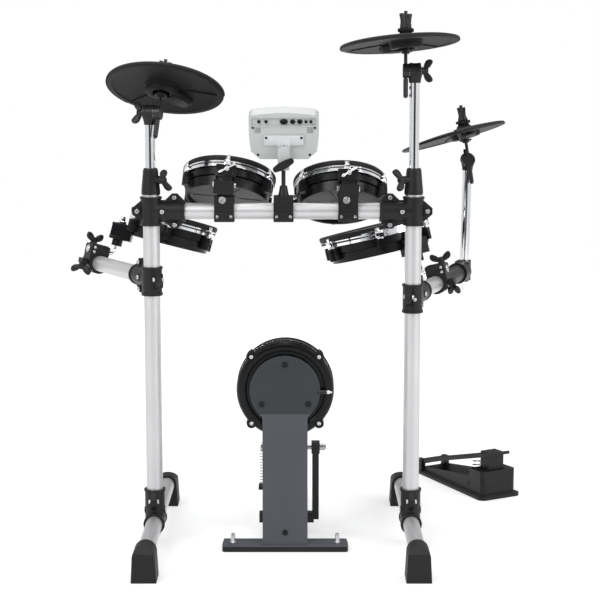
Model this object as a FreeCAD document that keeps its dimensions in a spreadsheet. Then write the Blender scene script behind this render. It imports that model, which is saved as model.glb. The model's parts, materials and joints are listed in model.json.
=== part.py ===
import FreeCAD, Part
import Sketcher
import math
import os
from types import SimpleNamespace

Vector = FreeCAD.Vector
Rotation = FreeCAD.Rotation
Placement = FreeCAD.Placement
X_AXIS = Vector(1, 0, 0)
Y_AXIS = Vector(0, 1, 0)
Z_AXIS = Vector(0, 0, 1)

# Driving dimensions in millimetres, angles in degrees.
DIMENSIONS = {
    "running_gap": 0.05,
    "tube_diameter": 38.0,
    "tube_wall": 2.0,
    "post_spacing": 600.0,
    "crossbar_height": 786.0,
    "foot_height": 56.0,
    "foot_front": 292.0,
    "foot_rear": 380.0,
    "cap_length": 62.0,
    "cap_width": 50.0,
    "cap_wall": 28.0,
    "sleeve_diameter": 46.5,
    "sleeve_length": 66.0,
    "arm_sleeve_drop": 7.0,
    "leg_reach": 78.0,
    "leg_start": 24.0,
    "flange_thickness": 12.0,
    "bead_diameter": 50.0,
    "bead_width": 5.0,
    "bolt_diameter": 6.0,
    "bolt_head_diameter": 10.0,
    "bolt_head_height": 3.5,
    "collar_gap": 5.0,
    "collar_height": 60.0,
    "collar_base_diameter": 43.0,
    "collar_top_diameter": 34.0,
    "collar_overlap": 16.0,
    "cymbal_post_diameter": 22.0,
    "cymbal_post_wall": 1.5,
    "cymbal_post_tail": 96.0,
    "crash_rise": 125.0,
    "ride_rise": 219.0,
    "hub_diameter": 34.0,
    "hub_width": 26.0,
    "neck_diameter": 25.0,
    "rod_diameter": 8.0,
    "rod_offset": 21.0,
    "rod_top": 130.0,
    "rod_bottom": 61.0,
    "swivel_height": 66.0,
    "ball_radius": 13.7,
    "ball_gap": 0.3,
    "dome_radius": 20.0,
    "cymbal_radius": 134.0,
    "cymbal_hole_radius": 9.5,
    "left_arm_drop": 154.0,
    "left_arm_angle": 30.0,
    "left_arm_length": 372.0,
    "left_clamp_reach": 328.0,
    "right_arm_drop": 194.0,
    "right_arm_angle": 20.0,
    "right_clamp_reach": 222.0,
    "hihat_clamp_reach": 487.0,
    "hihat_rise": 285.4,
    "hihat_post_tail": 52.0,
    "hihat_lean": 0.9,
    "small_hoop_radius": 110.0,
    "large_hoop_radius": 136.0,
    "kick_hoop_radius": 113.0,
    "pad_depth": 69.0,
    "rim_height": 9.0,
    "hoop_depth": 26.0,
    "lug_width": 17.0,
    "tension_rod_diameter": 6.0,
    "bent_rod_diameter": 9.5,
    "bent_rod_radius": 14.0,
    "rod_above_arm": 30.0,
    "clamp_width": 45.0,
    "tom_1_rise": 60.0,
    "tom_2_rise": 51.0,
    "yoke_depth": 10.0,
    "tom_1_x": -132.0,
    "tom_2_x": 150.0,
    "module_x": 3.0,
    "stem_diameter": 9.4,
    "kick_height": 377.0,
    "kick_x": 6.0,
    "tower_thickness": 4.0,
    "tower_disc_radius": 81.0,
    "tower_strip_width": 104.0,
    "axle_height": 205.0,
    "axle_depth": 115.0,
    "axle_diameter": 12.0,
    "cam_radius": 30.0,
    "spring_wire": 2.2,
    "spring_radius": 7.0,
    "hat_x": 566.0,
    "hat_y": 392.0,
    "hat_heading": 29.0,
    "hat_length": 345.0,
    "hat_toe_width": 128.0,
    "hat_heel_width": 96.0,
}


class Size:
    """A number that also carries the spreadsheet expression it came from."""

    def __init__(self, value, text):
        self.value = float(value)
        self.text = text

    @staticmethod
    def of(other):
        return other if isinstance(other, Size) else Size(other, repr(float(other)))

    def __add__(self, other):
        other = Size.of(other)
        return Size(self.value + other.value, f"({self.text} + {other.text})")

    def __radd__(self, other):
        return Size.of(other) + self

    def __sub__(self, other):
        other = Size.of(other)
        return Size(self.value - other.value, f"({self.text} - {other.text})")

    def __rsub__(self, other):
        return Size.of(other) - self

    def __mul__(self, other):
        other = Size.of(other)
        return Size(self.value * other.value, f"({self.text} * {other.text})")

    def __rmul__(self, other):
        return Size.of(other) * self

    def __truediv__(self, other):
        other = Size.of(other)
        return Size(self.value / other.value, f"({self.text} / {other.text})")

    def __neg__(self):
        return Size(-self.value, f"(0 - {self.text})")

    def __float__(self):
        return self.value


doc = FreeCAD.newDocument("drum_kit")
sheet = doc.addObject("Spreadsheet::Sheet", "Sizes")
for row, (alias, amount) in enumerate(DIMENSIONS.items(), 1):
    sheet.set(f"A{row}", alias.replace("_", " "))
    sheet.set(f"B{row}", str(amount))
    sheet.setAlias(f"B{row}", alias)
doc.recompute()
size = SimpleNamespace(**{k: Size(v, f"Sizes.{k}") for k, v in DIMENSIONS.items()})
nodes = {}


def bind(item, prop, amount):
    if isinstance(amount, Size):
        item.setExpression(prop, amount.text)
    elif "." not in prop:
        setattr(item, prop, amount)


def put(item, at=(0, 0, 0), turn=None):
    """Place an object, keeping sheet-driven coordinates as expressions."""
    item.Placement = Placement(Vector(*[float(c) for c in at]), turn or Rotation())
    for letter, coordinate in zip("xyz", at):
        bind(item, f"Placement.Base.{letter}", coordinate)
    return item


ALONG_X = Rotation(Y_AXIS, 90)
ALONG_Y = Rotation(X_AXIS, -90)
DOWNWARD = Rotation(X_AXIS, 180)


def box(length, width, height, at=(0, 0, 0), turn=None):
    item = doc.addObject("Part::Box", "box")
    bind(item, "Length", length)
    bind(item, "Width", width)
    bind(item, "Height", height)
    return put(item, at, turn)


def block(x0, x1, y0, y1, z0, z1):
    """Box between two corners."""
    corner = [Size.of(c) for c in (x0, y0, z0)]
    far = [Size.of(c) for c in (x1, y1, z1)]
    sides = [b - a for a, b in zip(corner, far)]
    return box(*sides, at=corner)


def rod(radius, height, at=(0, 0, 0), turn=None, angle=360):
    item = doc.addObject("Part::Cylinder", "rod")
    bind(item, "Radius", radius)
    bind(item, "Height", height)
    item.Angle = angle
    return put(item, at, turn)


def cone(radius_1, radius_2, height, at=(0, 0, 0), turn=None):
    item = doc.addObject("Part::Cone", "cone")
    bind(item, "Radius1", radius_1)
    bind(item, "Radius2", radius_2)
    bind(item, "Height", height)
    return put(item, at, turn)


def ball(radius, at=(0, 0, 0)):
    item = doc.addObject("Part::Sphere", "ball")
    bind(item, "Radius", radius)
    return put(item, at)


def elbow(ring_radius, wire_radius, angle, at=(0, 0, 0), turn=None):
    item = doc.addObject("Part::Torus", "elbow")
    bind(item, "Radius1", ring_radius)
    bind(item, "Radius2", wire_radius)
    item.Angle3 = angle
    return put(item, at, turn)


def join(pieces):
    item = doc.addObject("Part::MultiFuse", "join")
    item.Shapes = pieces
    item.Refine = True
    return item


def cut(base, tools):
    if isinstance(tools, list):
        tools = tools[0] if len(tools) == 1 else join(tools)
    item = doc.addObject("Part::Cut", "cut")
    item.Base = base
    item.Tool = tools
    item.Refine = True
    return item


def common(first, second):
    item = doc.addObject("Part::Common", "common")
    item.Base = first
    item.Tool = second
    return item


def copy(master, at=(0, 0, 0), turn=None):
    item = doc.addObject("App::Link", "copy")
    item.LinkedObject = master
    item.LinkTransform = True
    item.Placement = Placement(Vector(*[float(c) for c in at]), turn or Rotation())
    return item


def place_copy(master, placement):
    item = doc.addObject("App::Link", "copy")
    item.LinkedObject = master
    item.LinkTransform = True
    item.Placement = placement
    return item


def outline_sketch(body, plane_role, outline):
    """Closed outline; a corner may carry a middle point for an arc that ends in it."""
    plane = [f for f in body.Origin.OriginFeatures if f.Role == plane_role][0]
    sketch = body.newObject("Sketcher::SketchObject", "outline")
    sketch.AttachmentSupport = [(plane, "")]
    sketch.MapMode = "FlatFace"
    count = len(outline)
    corners = [(Size.of(p[0]), Size.of(p[1])) for p in outline]
    ends = []
    for i in range(count):
        here = Vector(corners[i - 1][0].value, corners[i - 1][1].value, 0)
        there = Vector(corners[i][0].value, corners[i][1].value, 0)
        ends.append((1, 2))
        if len(outline[i]) == 4:
            middle = Vector(float(outline[i][2]), float(outline[i][3]), 0)
            if (middle - here).cross(there - middle).z < 0:
                here, there = there, here
                ends[-1] = (2, 1)
            sketch.addGeometry(Part.Arc(here, middle, there))
        else:
            sketch.addGeometry(Part.LineSegment(here, there))
    for i in range(count):
        after = (i + 1) % count
        sketch.addConstraint(Sketcher.Constraint("Coincident", i, ends[i][1], after, ends[after][0]))
    for i in range(count):
        for kind, amount in zip(("DistanceX", "DistanceY"), corners[i]):
            number = sketch.addConstraint(
                Sketcher.Constraint(kind, -1, 1, i, ends[i][1], amount.value))
            if "Sizes." in amount.text:
                sketch.setExpression(f"Constraints[{number}]", amount.text)
        if len(outline[i]) == 4:
            radius = sketch.Geometry[i].Radius
            sketch.addConstraint(Sketcher.Constraint("Radius", i, radius))
    return sketch


def turned(outline, at=(0, 0, 0), turn=None, angle=360):
    """Body of revolution about local Z from an outline of radius and height."""
    body = doc.addObject("PartDesign::Body", "turned")
    sketch = outline_sketch(body, "XZ_Plane", outline)
    feature = body.newObject("PartDesign::Revolution", "revolution")
    feature.Profile = sketch
    feature.ReferenceAxis = (sketch, ["V_Axis"])
    feature.Angle = angle
    body.Tip = feature
    return put(body, at, turn)


def prism(outline, height, at=(0, 0, 0), turn=None, plane_role="XY_Plane"):
    """Body padded from an outline, away from its plane."""
    body = doc.addObject("PartDesign::Body", "prism")
    sketch = outline_sketch(body, plane_role, outline)
    feature = body.newObject("PartDesign::Pad", "pad")
    feature.Profile = sketch
    bind(feature, "Length", height)
    body.Tip = feature
    return put(body, at, turn)


# The finished kit is moved so that its origin lies under the middle of the kick tower's foot bar.
FOOT_BAR_FRONT = -67.0
FOOT_BAR_REAR = -12.0
foot_bar_middle = (FOOT_BAR_FRONT + FOOT_BAR_REAR) / 2
to_origin = Placement(Vector(-size.kick_x.value, -foot_bar_middle, 0), Rotation())


def node(label, pieces, placement=None):
    """A named sub-part from one object or from a group of separate solids."""
    tied = any("Placement" in e[0] for e in pieces[0].ExpressionEngine)
    if len(pieces) == 1 and not tied:
        item = pieces[0]
    else:
        item = doc.addObject("Part::Compound", label)
        item.Links = pieces
    item.Label = label
    place = to_origin if placement is None else to_origin.multiply(placement)
    item.Placement = place.multiply(item.Placement)
    nodes[label] = item
    return item


def at_turn(x, y, z, yaw=0, pitch=0, roll=0):
    where = Vector(float(x), float(y), float(z))
    return Placement(where, Rotation(float(yaw), float(pitch), float(roll)))


def polar(radius, angle, height=0):
    turn = math.radians(float(angle))
    return (float(radius) * math.cos(turn), float(radius) * math.sin(turn), float(height))


# Joint positions and directions, in metres, for the record.
pivots = {}


def note(label, where, way):
    moved = to_origin.multVec(Vector(where))
    pivots[label] = [round(c / 1000.0, 7) for c in moved] + [round(c, 7) for c in way]


gap = size.running_gap
tube_radius = size.tube_diameter / 2
half_spacing = size.post_spacing / 2
post_sides = ((-1, "left"), (1, "right"))


def tube(radius, wall, length, at=(0, 0, 0), turn=None):
    outer = rod(radius, length)
    inner = rod(radius - wall, length)
    return put(cut(outer, inner), at, turn)


# Rack tubes.
post_bottom = size.foot_height + size.leg_start + 1
collar_bottom = size.crossbar_height + size.sleeve_length / 2 + size.collar_gap
post_top = collar_bottom + size.collar_overlap
node("post_tubes", [
    tube(tube_radius, size.tube_wall, post_top - post_bottom,
         (side * half_spacing, 0, post_bottom)) for side, _ in post_sides])
crossbar_length = size.post_spacing - 2 * (size.leg_start + 1)
node("crossbar_tube", [
    tube(tube_radius, size.tube_wall, crossbar_length,
         (-crossbar_length / 2, 0, size.crossbar_height), ALONG_X)])
foot_length = size.foot_front + size.foot_rear - 2 * size.cap_wall
node("foot_tubes", [
    tube(tube_radius, size.tube_wall, foot_length,
         (side * half_spacing, -size.foot_front + size.cap_wall, size.foot_height), ALONG_Y)
    for side, _ in post_sides])

# Foot cap: arch-topped rubber shoe with a bevelled toe, tube axis along local Y, toe at y = 0.
cap_half = size.cap_width / 2
toe_drop = 17
cap_outline = [
    (-cap_half - 3, -size.foot_height),
    (cap_half + 3, -size.foot_height),
    (cap_half, 0),
    (-cap_half, 0),
]
cap_body = join([prism(cap_outline, size.cap_length, plane_role="XZ_Plane"),
                 rod(cap_half, size.cap_length, (0, -size.cap_length, 0), ALONG_Y)])
toe_bevel = prism([(1, cap_half - toe_drop), (1, cap_half + 1), (-size.cap_wall + 2, cap_half + 1)], 80,
                  (-40, 0, 0), plane_role="YZ_Plane")
cap_bore = rod(tube_radius + gap, size.cap_length, (0, -size.cap_length - size.cap_wall, 0), ALONG_Y)
cap_master = put(cut(cap_body, [cap_bore, toe_bevel]))
caps = []
for side, _ in post_sides:
    x = side * half_spacing.value
    front = -size.foot_front.value
    rear = size.foot_rear.value
    caps.append(copy(cap_master, (x, front, size.foot_height), Rotation(Z_AXIS, 180)))
    caps.append(copy(cap_master, (x, rear, size.foot_height)))
node("foot_caps", caps)

# Moulded tee clamp: sleeve on local Z, leg on local +X, two halves that meet on y = 0.
ear_out = 43
ear_up = 40
flange_outline = [
    (-ear_out, -7), (-ear_out, 7), (-22, 25), (32, 25), (48, ear_up), (60, ear_up),
    (75, 25), (75, -25), (60, -ear_up), (48, -ear_up), (32, -25), (-22, -25),
]
sleeve_radius = size.sleeve_diameter / 2
bead_radius = size.bead_diameter / 2
half_sleeve = size.sleeve_length / 2
bolt_spots = [(-31, 0), (54, 31), (54, -31)]
bolt_radius = size.bolt_diameter / 2


def tee_pair(drop):
    """Front and back half of a tee whose sleeve hangs a little below the leg's axis."""
    low = -half_sleeve - drop
    high = half_sleeve - drop
    flange = prism(flange_outline, size.flange_thickness, (0, size.flange_thickness / 2, 0),
                   plane_role="XZ_Plane")
    solid = join([
        rod(sleeve_radius, size.sleeve_length, (0, 0, low)),
        rod(bead_radius, size.bead_width, (0, 0, low)),
        rod(bead_radius, size.bead_width, (0, 0, high - size.bead_width)),
        rod(sleeve_radius, size.leg_reach, (0, 0, 0), ALONG_X),
        rod(bead_radius, size.bead_width, (size.leg_reach - size.bead_width, 0, 0), ALONG_X),
        flange,
    ])
    tools = [
        rod(tube_radius + gap, size.sleeve_length + 20, (0, 0, low - 10)),
        rod(tube_radius + gap, size.leg_reach, (size.leg_start, 0, 0), ALONG_X),
    ]
    for bolt_x, bolt_z in bolt_spots:
        tools.append(rod(bolt_radius + gap, 40, (bolt_x, -20, bolt_z), ALONG_Y))
    hollow = cut(solid, tools)
    front = common(hollow, block(-60, 100, -60, 0, -60, 60))
    back = cut(hollow, block(-60, 100, -60, 0, -60, 60))
    return front, back


rack_tee = tee_pair(0)
arm_tee = tee_pair(size.arm_sleeve_drop)
head_radius = size.bolt_head_diameter / 2
half_flange = size.flange_thickness / 2
bolt_master = join([
    rod(bolt_radius, size.flange_thickness, (0, -half_flange, 0), ALONG_Y),
    rod(head_radius, size.bolt_head_height, (0, -half_flange - size.bolt_head_height, 0), ALONG_Y),
    rod(head_radius, size.bolt_head_height, (0, half_flange, 0), ALONG_Y),
])


def tee_at(placement, pair):
    halves = [place_copy(half, placement) for half in pair]
    bolts = []
    for bolt_x, bolt_z in bolt_spots:
        spot = Placement(Vector(bolt_x, 0, bolt_z), Rotation())
        bolts.append(place_copy(bolt_master, placement.multiply(spot)))
    return halves, bolts


rack_bolts = []
corner_pieces = []
base_pieces = []
for side, _ in post_sides:
    x = side * half_spacing.value
    inward = Rotation(Y_AXIS, 0 if side < 0 else 180)
    halves, bolts = tee_at(Placement(Vector(x, 0, size.crossbar_height.value), inward), rack_tee)
    corner_pieces += halves
    rack_bolts += bolts
    upward = Rotation(Vector(0, 0, 1), Vector(1, 0, 0), Vector(0, 1, 0), "ZXY")
    halves, bolts = tee_at(Placement(Vector(x, 0, size.foot_height.value), upward), rack_tee)
    base_pieces += halves
    rack_bolts += bolts
node("corner_clamps", corner_pieces)
node("base_clamps", base_pieces)

# Wing screw: axis on local Z, wings across local X, shank below z = 0.
wing_screw = join([
    rod(6.5, 15, (0, 0, 0)),
    rod(9, 3, (0, 0, 0)),
    prism([(-25, 20), (-20, 26), (-9, 21), (-5, 15), (5, 15), (9, 21), (20, 26), (25, 20),
           (22, 11), (8, 6), (-8, 6), (-22, 11)], 7, (0, 3.5, 0), plane_role="XZ_Plane"),
])
wing_shank_radius = 4

# Post collars with the wing screws that lock the cymbal posts.
collar_base = size.collar_base_diameter / 2
collar_top = size.collar_top_diameter / 2
cymbal_post_radius = size.cymbal_post_diameter / 2
overlap = size.collar_overlap
collars = []
for side, name in post_sides:
    shell = turned([
        (collar_base, 0), (collar_base, 8), (collar_top, size.collar_height - 4),
        (collar_top - 2, size.collar_height), (cymbal_post_radius + gap, size.collar_height),
        (cymbal_post_radius + gap, overlap + 1), (tube_radius + gap, overlap + 1),
        (tube_radius + gap, 0),
    ])
    inner_turn = -35 if side < 0 else 215
    boss_turn = Rotation(Z_AXIS, inner_turn).multiply(ALONG_X)
    boss_height = 34
    boss_reach = 27
    boss_start = polar(14, inner_turn, boss_height)
    shank_start = polar(cymbal_post_radius.value + 0.4, inner_turn, boss_height)
    boss = rod(9, boss_reach - 14, boss_start, boss_turn)
    hollow = rod(cymbal_post_radius + gap, size.collar_height)
    tap = rod(wing_shank_radius + 0.05, 40, shank_start, boss_turn)
    collar = cut(join([shell, cut(boss, hollow)]), tap)
    put(collar, (side * half_spacing, 0, collar_bottom))
    collars.append(collar)
    wing = join([wing_screw, rod(wing_shank_radius, boss_reach - cymbal_post_radius.value - 0.7,
                                 (0, 0, -(boss_reach - cymbal_post_radius.value - 0.7)))])
    seat = polar(boss_reach + 0.3, inner_turn, boss_height)
    where = Vector(side * half_spacing.value, 0, collar_bottom.value) + Vector(*seat)
    label = "crash_collar_wing" if side < 0 else "ride_collar_wing"
    node(label, [wing], Placement(where, boss_turn.multiply(Rotation(Z_AXIS, 70))))
    note(label, where, boss_turn.multVec(Z_AXIS))
node("post_collars", collars)


def cymbal_set(name, pivot, tube_length, post_turn, tilter, pad_lean, pad_shift, lift, box_turn):
    """Post, tilter rod, pad and wing nut. The tilter axis is local X at the pivot.

    The pad's disc stands off its bell by pad_shift, and lift is its extra height on the rod.
    """
    tilt_turn, tilt = tilter
    base = Placement(pivot, post_turn)
    hub_radius = size.hub_diameter / 2
    half_hub = size.hub_width / 2
    socket_depth = 12
    neck = 26
    hub = join([
        rod(hub_radius, size.hub_width, (-half_hub, 0, 0), ALONG_X),
        rod(size.neck_diameter / 2, neck, (0, 0, -neck)),
    ])
    eye_bore = rod(size.rod_diameter / 2 + gap, size.hub_width + 2, (-half_hub - 1, 0, 0), ALONG_X)
    hub = cut(hub, [rod(cymbal_post_radius, neck, (0, 0, -neck - socket_depth)), eye_bore])
    post = tube(cymbal_post_radius, size.cymbal_post_wall, tube_length,
                (0, 0, -tube_length - socket_depth))
    twist = Placement(Vector(), Rotation(Z_AXIS, tilt_turn))
    node(f"{name}_post", [hub, post], base.multiply(twist))
    rod_radius = size.rod_diameter / 2
    offset = size.rod_offset
    eye_face = half_hub + 0.3
    tail = half_hub + 14
    eye = join([
        rod(16, offset + 6 - eye_face, (eye_face, 0, 0), ALONG_X),
        rod(rod_radius, tail + eye_face, (-tail, 0, 0), ALONG_X),
        rod(rod_radius, size.rod_top + lift + size.rod_bottom, (offset, 0, -size.rod_bottom)),
    ])
    sleeve = cut(rod(5.5, 40, (offset, 0, -58)), rod(rod_radius, 42, (offset, 0, -59)))
    tilt_wing = cut(copy(wing_screw, (-half_hub - 0.3, 0, 0), Rotation(Y_AXIS, -90)),
                    rod(rod_radius, 60, (-60, 0, 0), ALONG_X))
    height = size.swivel_height + lift
    seat = cut(join([ball(size.ball_radius, (offset, 0, height)),
                     rod(9, 26, (offset, 0, height - 32)),
                     rod(15, 4, (offset, 0, height - 28))]),
               [rod(rod_radius, 80, (offset, 0, height - 40)),
                block(-10, 60, -40, 40, height + 11, height + 40)])
    felt_radius = 13.5
    felt_top = height + 24
    felt = cut(join([rod(felt_radius, 14, (offset, 0, felt_top - 14)),
                     rod(felt_radius + 4.5, 6.5, (offset, 0, felt_top - 6.5))]),
               [ball(size.dome_radius + size.ball_gap, (offset, 0, height)),
                rod(rod_radius, 60, (offset, 0, height))])
    swing = base.multiply(twist).multiply(Placement(Vector(), Rotation(X_AXIS, tilt)))
    node(f"{name}_rod", [eye, sleeve, tilt_wing, seat, felt], swing)
    nut_profile = [(-15.5, 33), (-9, 34), (-5, 24), (5, 24), (9, 34), (15.5, 33),
                   (11, 14), (13, 0), (-13, 0), (-11, 14)]
    nut = join([prism(nut_profile, 9, (0, 4.5, 0), plane_role="XZ_Plane"),
                cone(12, 8, 16), rod(8, 24)])
    nut = cut(nut, rod(rod_radius + gap, 40))
    nut_place = swing.multiply(Placement(Vector(offset.value, 0, felt_top.value + 0.3),
                                         Rotation(Z_AXIS, 25)))
    node(f"{name}_wing_nut", [nut], nut_place)
    socket = size.ball_radius + size.ball_gap
    hole = size.cymbal_hole_radius
    dome = size.dome_radius
    hole_low = math.sqrt(socket.value ** 2 - hole.value ** 2)
    hole_high = math.sqrt(dome.value ** 2 - hole.value ** 2)
    mid_low = socket.value * math.sqrt(0.5)
    shoulder = 18.5
    shoulder_high = math.sqrt(dome.value ** 2 - shoulder ** 2)
    between = (hole.value + shoulder) / 2
    between_high = math.sqrt(dome.value ** 2 - between ** 2)
    rim = size.cymbal_radius
    crown = 3.2
    bow = 10.2

    def bowed(radius):
        return crown - bow * (float(radius) / rim.value) ** 2

    steps = [(radius, bowed(radius)) for radius in (0.75 * rim.value, 0.46 * rim.value, 0.18 * rim.value)]
    bell_radius = 40
    gate = 3.0
    disc = turned([(gate, -5), (60, -7), (rim - 3, -12), (rim, -10), (rim, crown - bow)] + steps
                  + [(gate, steps[-1][1])])
    disc.Placement = Placement(Vector(*pad_shift, 0), Rotation())
    bell = turned([(0, -8.5), (37, -8.5), (bell_radius, -6), (bell_radius, 0), (26, 4.1),
                   (shoulder, shoulder_high), (hole, hole_high, between, between_high), (0, hole_high)])
    socket_mid = max(mid_low, hole.value + 1.5)
    seat_tool = turned([(0, -30), (socket, -30), (socket, 0),
                        (hole, hole_low, socket_mid, math.sqrt(socket.value ** 2 - socket_mid ** 2)),
                        (hole, 40), (0, 40)])
    trigger = block(24, 92, -26, 26, -24, -5)
    core = cut(join([disc, bell, copy(trigger, (0, 0, 0), Rotation(Z_AXIS, box_turn))]), seat_tool)
    inner = bell_radius + 4 + math.hypot(*pad_shift)
    middle = (inner + rim.value) / 2
    skin = 2.6
    rubber = turned([
        (inner, bowed(inner)), (rim + 0.01, crown - bow, middle, bowed(middle)), (rim + 0.01, -12),
        (rim + 2, -12), (rim + 2, crown - bow + 1.5), (inner, bowed(inner) + skin, middle, bowed(middle) + skin),
    ], (*pad_shift, 0.15), angle=200)
    pad_swing = Placement(Vector(offset.value, 0, height.value),
                          Rotation(X_AXIS, pad_lean[0]).multiply(Rotation(Y_AXIS, pad_lean[1])))
    pad_place = swing.multiply(pad_swing)
    node(f"{name}_pad", [core, rubber], pad_place)
    side_way = swing.Rotation.multVec(X_AXIS)
    rod_way = swing.Rotation.multVec(Z_AXIS)
    for label, where, way in (
            (f"{name}_post", pivot, post_turn.multVec(Z_AXIS)), (f"{name}_rod", pivot, side_way),
            (f"{name}_pad", pad_place.Base, side_way), (f"{name}_wing_nut", nut_place.Base, rod_way)):
        note(label, where, way)


upright = Rotation()
neck_socket = 12
collar_top_level = collar_bottom + size.collar_height
post_end = size.crossbar_height - size.cymbal_post_tail
crash_level = collar_top_level + size.crash_rise
ride_level = collar_top_level + size.ride_rise
cymbal_set("crash", Vector(-half_spacing.value, 0, crash_level.value), crash_level - neck_socket - post_end,
           upright, (-13.4, -25.6), (0, 0), (8.5, 0), 2.0, 30)
cymbal_set("ride", Vector(half_spacing.value, 0, ride_level.value), ride_level - neck_socket - post_end,
           upright, (180, 6.8), (0, 4.5), (14.0, 0), 4.5, 200)

# Swinging side arms.
left_turn = 90 + size.left_arm_angle.value
right_turn = 90 - size.right_arm_angle.value
left_arm_level = size.crossbar_height - size.left_arm_drop
right_arm_level = size.crossbar_height - size.right_arm_drop
left_arm = Placement(Vector(-half_spacing.value, 0, left_arm_level.value), Rotation(Z_AXIS, left_turn))
right_arm = Placement(Vector(half_spacing.value, 0, right_arm_level.value), Rotation(Z_AXIS, right_turn))
note("left_arm", left_arm.Base, Z_AXIS)
note("right_arm", right_arm.Base, Z_AXIS)
arm_start = size.leg_start + 1
plug_length = 12


def arm_tube(label, length, placement):
    piece = tube(tube_radius, size.tube_wall, length - arm_start, (arm_start, 0, 0), ALONG_X)
    node(label, [piece], placement)


def end_plug(length):
    inner = tube_radius - size.tube_wall
    return join([rod(inner, plug_length, (length - plug_length, 0, 0), ALONG_X),
                 rod(tube_radius + 1, 3, (length, 0, 0), ALONG_X)])


# Pad clamp on an arm: arm along local Y, bent rod bore along local X at local z = rod_above_arm.
bent_radius = size.bent_rod_diameter / 2
rise = size.rod_above_arm
half_clamp = 19
clamp_top = rise + 14
lug_low = -8
clamp_ring = join([
    rod(tube_radius + 7, 2 * half_clamp, (0, -half_clamp, 0), ALONG_Y),
    block(-30, 18, -half_clamp, half_clamp, 0, clamp_top),
    block(-44, -18, -12, 12, lug_low, 4),
])
clamp_bores = [
    rod(tube_radius + gap, 60, (0, -30, 0), ALONG_Y),
    rod(bent_radius + gap, 100, (-50, 0, rise), ALONG_X),
]
pad_clamp_body = cut(clamp_ring, clamp_bores)
pad_clamp_wing = copy(wing_screw, (-36, 0, lug_low - 0.1), DOWNWARD.multiply(Rotation(Z_AXIS, 45)))
pad_clamp_top = copy(wing_screw, (-21, 0, clamp_top.value + 0.1), Rotation(Z_AXIS, 20))


def arm_clamp(reach, slope, side):
    """Copies of the pad clamp at a reach along the arm, in the arm's own frame."""
    turn = Rotation(Z_AXIS, -90 if side < 0 else 90).multiply(Rotation(Y_AXIS, slope))
    spot = Placement(Vector(reach.value, 0, 0), turn)
    return [place_copy(p, spot) for p in (pad_clamp_body, pad_clamp_wing, pad_clamp_top)], spot


floor_slope = 16.5
snare_slope = 14.0
left_clamp, left_spot = arm_clamp(size.left_clamp_reach, floor_slope, -1)
right_clamp, right_spot = arm_clamp(size.right_clamp_reach, snare_slope, 1)
identity = Placement()
arm_halves, arm_bolts = tee_at(identity, arm_tee)
arm_tube("left_arm_tube", size.left_arm_length, left_arm)
node("left_arm_clamps", arm_halves + arm_bolts + left_clamp + [end_plug(size.left_arm_length)], left_arm)

# Hi-hat post clamp: it closes the end of the right arm and grips the post just beyond it.
reach = size.hihat_clamp_reach
tube_end_gap = 40
right_arm_length = reach - tube_end_gap
arm_tube("right_arm_tube", right_arm_length, right_arm)
jaw_half = 26
jaw_side = 16
hihat_hold = right_arm.multVec(Vector(reach.value, 0, 0))
lean_world = Rotation(Y_AXIS, size.hihat_lean.value)
lean_in_arm = right_arm.inverse().multiply(Placement(hihat_hold, lean_world))
hihat_bore = rod(cymbal_post_radius + gap, 120)
hihat_bore.Placement = lean_in_arm.multiply(Placement(Vector(0, 0, -60), Rotation()))
hihat_tools = [rod(tube_radius + gap, 60, (right_arm_length - 60, 0, 0), ALONG_X), hihat_bore]
jaw_bolts = []
jaw_bolt_levels = (0, 18)
for level in jaw_bolt_levels:
    bolt_x = reach - 26
    hihat_tools.append(rod(2.5 + gap, 10, (bolt_x, -jaw_side - 1, level), ALONG_Y))
    jaw_bolts.append(join([rod(2.5, 8, (bolt_x, -jaw_side, level), ALONG_Y),
                           rod(4.5, 4, (bolt_x, -jaw_side - 4, level), ALONG_Y)]))
hihat_clamp = cut(join([
    rod(tube_radius + 8, 46, (reach - 78, 0, 0), ALONG_X),
    block(reach - 36, reach + 4, -jaw_side, jaw_side, -jaw_half, jaw_half),
    rod(17, 2 * jaw_half, (reach, 0, -jaw_half)),
]), hihat_tools)
arm_halves, arm_bolts = tee_at(identity, arm_tee)
node("right_arm_clamps", arm_halves + arm_bolts + right_clamp + [hihat_clamp] + jaw_bolts, right_arm)
hihat_pivot = hihat_hold + lean_world.multVec(Vector(0, 0, size.hihat_rise.value))
hihat_tube = size.hihat_rise + size.hihat_post_tail - neck_socket
cymbal_set("hihat", hihat_pivot, hihat_tube, lean_world, (-90, 10.0), (6.5, -7.2), (0, -32.0), 11.0, 0)


# Drum pad: local z = 0 at the rim top, playing face up.
def lug_master():
    ribs = [block(-1.5, 1.5, 4, 6, -58, -36), block(-6, -3.5, 4, 6, -58, -36),
            block(3.5, 6, 4, 6, -58, -36)]
    half = size.lug_width / 2
    return join([block(-half, half, -19, 5, -60, -30)] + ribs)


lug = lug_master()
rod_hole_radius = size.tension_rod_diameter / 2
claw = block(-7, 7, -8, 5, -26, -15)
tension_rod = join([rod(rod_hole_radius, 28, (0, 0, -42)), rod(5, 5, (0, 0, -15))])


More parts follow.
